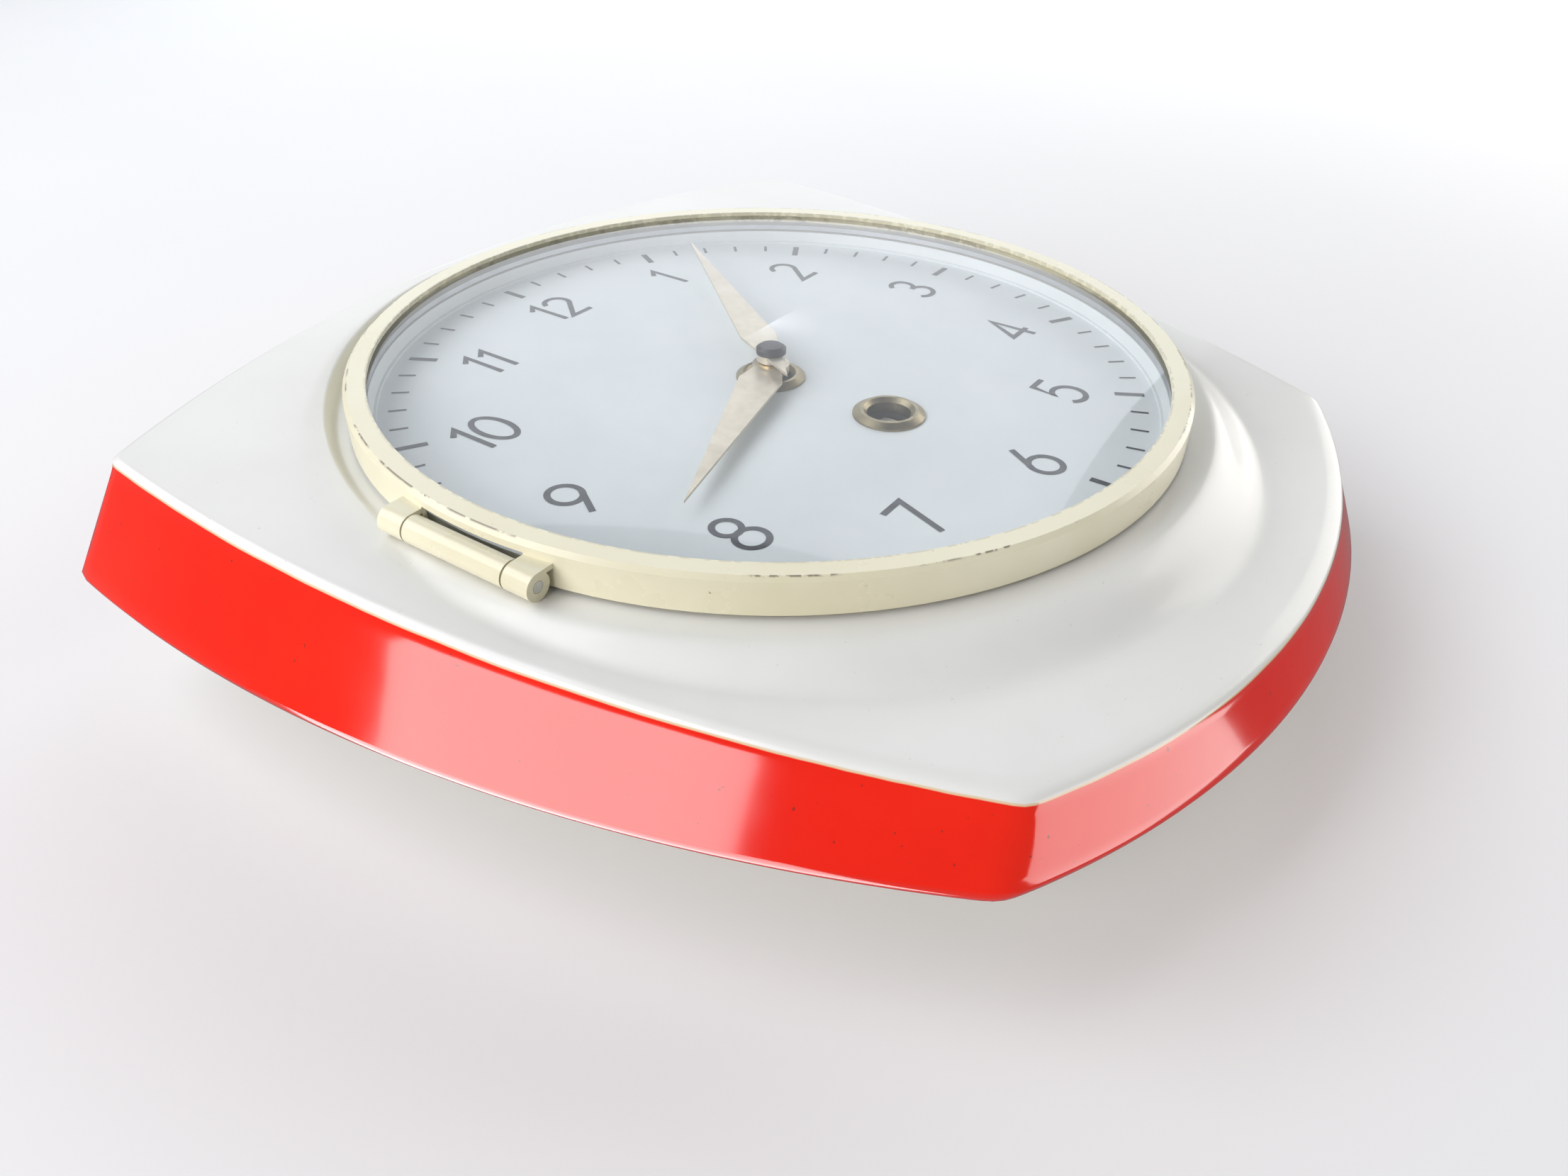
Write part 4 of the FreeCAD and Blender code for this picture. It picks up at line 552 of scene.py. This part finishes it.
FIGURES = {
    "0": (0.56, [arc(0.28, 0.5, 0.28, 0.5, 0, 360)]),
    "1": (0.22, [[(0.0, 0.80), (0.20, 1.0), (0.20, 0.0)]]),
    "2": (0.54, [arc(0.27, 0.73, 0.26, 0.27, 165, -35) + [(0.0, 0.0), (0.54, 0.0)]]),
    "3": (0.54, [arc(0.25, 0.75, 0.24, 0.25, 150, -90), arc(0.25, 0.26, 0.28, 0.26, 90, -150)]),
    "4": (0.60, [[(0.44, 0.0), (0.44, 1.0), (0.0, 0.28), (0.60, 0.28)]]),
    "5": (0.54, [[(0.50, 1.0), (0.10, 1.0), (0.04, 0.54)] + arc(0.24, 0.32, 0.30, 0.32, 128, -145)]),
    "6": (0.56, [arc(0.28, 0.30, 0.28, 0.30, 0, 360), [(0.40, 1.0), (0.04, 0.44)]]),
    "7": (0.52, [[(0.0, 1.0), (0.52, 1.0), (0.14, 0.0)]]),
    "8": (0.56, [arc(0.28, 0.76, 0.23, 0.24, 0, 360), arc(0.28, 0.27, 0.28, 0.27, 0, 360)]),
    "9": (0.56, [arc(0.28, 0.70, 0.28, 0.30, 0, 360), [(0.16, 0.0), (0.52, 0.56)]]),
}


MITRE_LIMIT = 0.45


def swept(points, half):
    """Quads of a pen stroke along points, mitred at each bend."""
    closed = math.dist(points[0], points[-1]) < 1e-6
    if closed:
        points = points[:-1]
    sides = []
    count = len(points)
    for place, here in enumerate(points):
        before = points[place - 1] if place or closed else None
        after = points[(place + 1) % count] if place < count - 1 or closed else None
        steps = []
        for start, end in ((before, here), (here, after)):
            if start is not None and end is not None:
                gap = math.dist(start, end)
                steps.append(((end[0] - start[0]) / gap, (end[1] - start[1]) / gap))
        lean = (sum(s[0] for s in steps), sum(s[1] for s in steps))
        size = math.hypot(*lean)
        lean = (lean[0] / size, lean[1] / size)
        offset = half / max(MITRE_LIMIT, lean[0] * steps[0][0] + lean[1] * steps[0][1])
        sides.append(((here[0] - lean[1] * offset, here[1] + lean[0] * offset),
                      (here[0] + lean[1] * offset, here[1] - lean[0] * offset)))
    pairs = list(zip(sides, sides[1:] + (sides[:1] if closed else [])))
    return [[a[0], a[1], b[1], b[0]] for a, b in pairs]


def numerals():
    """The twelve figures, 9.6 mm high, centred on a circle of 53 mm."""
    height, pen, gap = 9.6, 0.55, 1.7
    quads = []
    for hour in range(1, 13):
        word = str(hour)
        width = sum(FIGURES[c][0] * height for c in word) + gap * (len(word) - 1)
        angle = math.radians(30 * hour)
        left = 53.0 * math.sin(angle) - width / 2
        foot = 53.0 * math.cos(angle) - height / 2
        for character in word:
            span, strokes = FIGURES[character]
            for stroke in strokes:
                path = [(left + px * height, foot + py * height) for px, py in stroke]
                quads += swept(path, pen)
            left += span * height + gap
    return quads


flat_piece("numerals", numerals(), DIAL_Z + 0.03, slate_ink)


# ---------------------------------------------------------------------------
# Hands, cap, eyelets and the plain metals inside. Pressed brass hands in champagne
# lacquer, a blackened cap nut, two dull brass eyelets; brass, steel and zinc within.
# ---------------------------------------------------------------------------
def metal(name, low, high, roughness, grain=600.0, metallic=1.0):
    material, tree, principled = shader(name)
    shade = noise(tree, grain, 5.0)
    link(tree, ramp(tree, shade, [(0.3, low), (0.7, high)]), principled.inputs["Base Color"])
    principled.inputs["Metallic"].default_value = metallic
    link(tree, grey(tree, noise(tree, grain * 0.4, 6.0), 0.3, 0.7, roughness * 0.8, roughness * 1.25),
         principled.inputs["Roughness"])
    bump(tree, principled, noise(tree, grain * 3, 2.0), 0.00002, 0.5)
    return material


champagne = metal("champagne_lacquer", (0.56, 0.51, 0.41), (0.66, 0.60, 0.49), 0.36, 600.0, 0.6)
dull_brass = metal("dull_brass", (0.24, 0.21, 0.14), (0.36, 0.31, 0.20), 0.40)
train_brass = metal("train_brass", (0.66, 0.50, 0.22), (0.76, 0.60, 0.30), 0.3)
blackened = metal("blackened_steel", (0.045, 0.045, 0.05), (0.075, 0.075, 0.08), 0.4)
bright_steel = metal("bright_steel", (0.50, 0.50, 0.48), (0.62, 0.62, 0.60), 0.32)
zinc = metal("zinc_plate", (0.50, 0.51, 0.53), (0.62, 0.63, 0.64), 0.42, 180.0)
blued = metal("blued_steel", (0.10, 0.13, 0.22), (0.16, 0.20, 0.32), 0.3)

FINISHES = {
    champagne: ("hour_hand", "minute_hand"),
    dull_brass: ("centre_eyelet", "winding_eyelet"),
    blackened: ("hand_cap",),
    train_brass: ("front_plate", "back_plate", "spring_barrel", "barrel_cover", "second_wheel",
                  "centre_wheel", "third_wheel", "fourth_wheel", "escape_wheel", "balance_wheel",
                  "minute_wheel", "hour_wheel", "hairspring_stud"),
    bright_steel: ("hinge_pin", "ring_rivets", "plate_pillars", "pillar_nuts", "movement_posts",
                   "post_nuts", "minute_stud", "click_screw", "balance_front_screw",
                   "balance_back_screw", "winding_arbor", "ratchet_wheel", "click", "cannon_pinion",
                   "pallet_fork", "regulator_lever"),
    zinc: ("hanging_plate", "hanging_screws", "hanging_nuts", "case_screws", "case_washers",
           "case_nuts", "mounting_plate", "dust_cover", "cover_screws", "glass_ring"),
    blued: ("mainspring", "hairspring", "click_spring"),
}
for finish, names in FINISHES.items():
    for name in names:
        paint(name, finish)


# ---------------------------------------------------------------------------
# Card gasket between the dial and its ring.
# ---------------------------------------------------------------------------
def card():
    material, tree, principled = shader("pressed_card")
    colour = ramp(tree, noise(tree, 800.0, 6.0),
                  [(0.3, (0.30, 0.22, 0.13)), (0.7, (0.45, 0.35, 0.22))])
    link(tree, colour, principled.inputs["Base Color"])
    principled.inputs["Roughness"].default_value = 0.9
    bump(tree, principled, noise(tree, 2500.0, 3.0), 0.00005, 0.6)
    return material


paint("dial_gasket", card())


# ---------------------------------------------------------------------------
# Stage. The clock lies on its back on a pale table between soft lights, one of them
# behind the table for views from the wall side.
# ---------------------------------------------------------------------------
def table_top():
    """A pale table seen only from its upper side; it shows in no reflection or shadow."""
    bpy.ops.mesh.primitive_plane_add(size=14.0, location=lay(0, 0, 0.0),
                                     rotation=(math.pi / 2, 0, 0))
    plane = bpy.context.active_object
    plane.name = "table_top"
    material, tree, principled = shader("table_top")
    colour = ramp(tree, noise(tree, 2.0, 3.0),
                  [(0.3, (0.80, 0.80, 0.80)), (0.7, (0.84, 0.84, 0.84))])
    link(tree, colour, principled.inputs["Base Color"])
    principled.inputs["Roughness"].default_value = 0.8
    clear = node(tree, "BsdfTransparent")
    share = node(tree, "MixShader")
    facing = node(tree, "NewGeometry")
    link(tree, facing.outputs["Backfacing"], share.inputs["Fac"])
    link(tree, principled.outputs["BSDF"], share.inputs[1])
    link(tree, clear.outputs["BSDF"], share.inputs[2])
    link(tree, share.outputs["Shader"], tree.nodes["Material Output"].inputs["Surface"])
    plane.data.materials.append(material)
    plane.visible_diffuse = False
    plane.visible_glossy = False
    plane.visible_shadow = False


def area_light(name, place, target, size, power, colour=(1.0, 1.0, 1.0)):
    """A square soft light at a clock place, aimed at another."""
    data = bpy.data.lights.new(name, "AREA")
    data.size = size
    data.energy = power
    data.color = colour
    lamp = bpy.data.objects.new(name, data)
    bpy.context.scene.collection.objects.link(lamp)
    start = Vector(lay(*place))
    lamp.location = start
    lamp.rotation_euler = (Vector(lay(*target)) - start).to_track_quat("-Z", "Y").to_euler()


table_top()
area_light("window", (-500, 700, 900), (0, 0, 30), 0.9, 8.5, (0.93, 0.96, 1.0))
area_light("near_window", (-900, 120, 330), (0, 0, 30), 0.62, 7.4, (1.0, 0.97, 0.97))
area_light("right_fill", (850, -400, 300), (0, 0, 30), 0.7, 5.4, (1.0, 0.97, 0.93))
area_light("far_wall", (650, 480, 330), (0, 0, 40), 0.95, 4.6, (0.92, 0.95, 1.0))
area_light("table_glow", (90, -650, -120), (0, -60, 30), 0.42, 1.9, (1.0, 0.97, 0.95))
area_light("wall_side", (-350, 250, -800), (0, 0, 10), 0.8, 6.0)

world = bpy.data.worlds.new("studio")
bpy.context.scene.world = world
world.use_nodes = True
world.node_tree.nodes["Background"].inputs["Color"].default_value = (0.80, 0.83, 0.86, 1.0)
world.node_tree.nodes["Background"].inputs["Strength"].default_value = 0.24


def direction(x, y, z):
    """A unit vector in the frame from one in clock directions."""
    return Vector((x, -z, y)).normalized()


def camera():
    """The eye stands low beyond eight o'clock, with twelve o'clock away to the left."""
    data = bpy.data.cameras.new("camera")
    data.sensor_width = 36.0
    data.lens = data.sensor_width * 1678.0 / 2212.0
    data.clip_start = 0.01
    eye = bpy.data.objects.new("camera", data)
    bpy.context.scene.collection.objects.link(eye)
    right = direction(0.56546, -0.82460, 0.01677)
    up = direction(0.47538, 0.34247, 0.81039)
    back = direction(-0.67399, -0.45027, 0.58566)
    turn = Matrix((right, up, back)).transposed()
    eye.matrix_world = Matrix.Translation(lay(-165.1, -114.2, DIAL_Z + 97.0)) @ turn.to_4x4()
    bpy.context.scene.camera = eye


camera()
bpy.context.scene.view_settings.view_transform = "Standard"
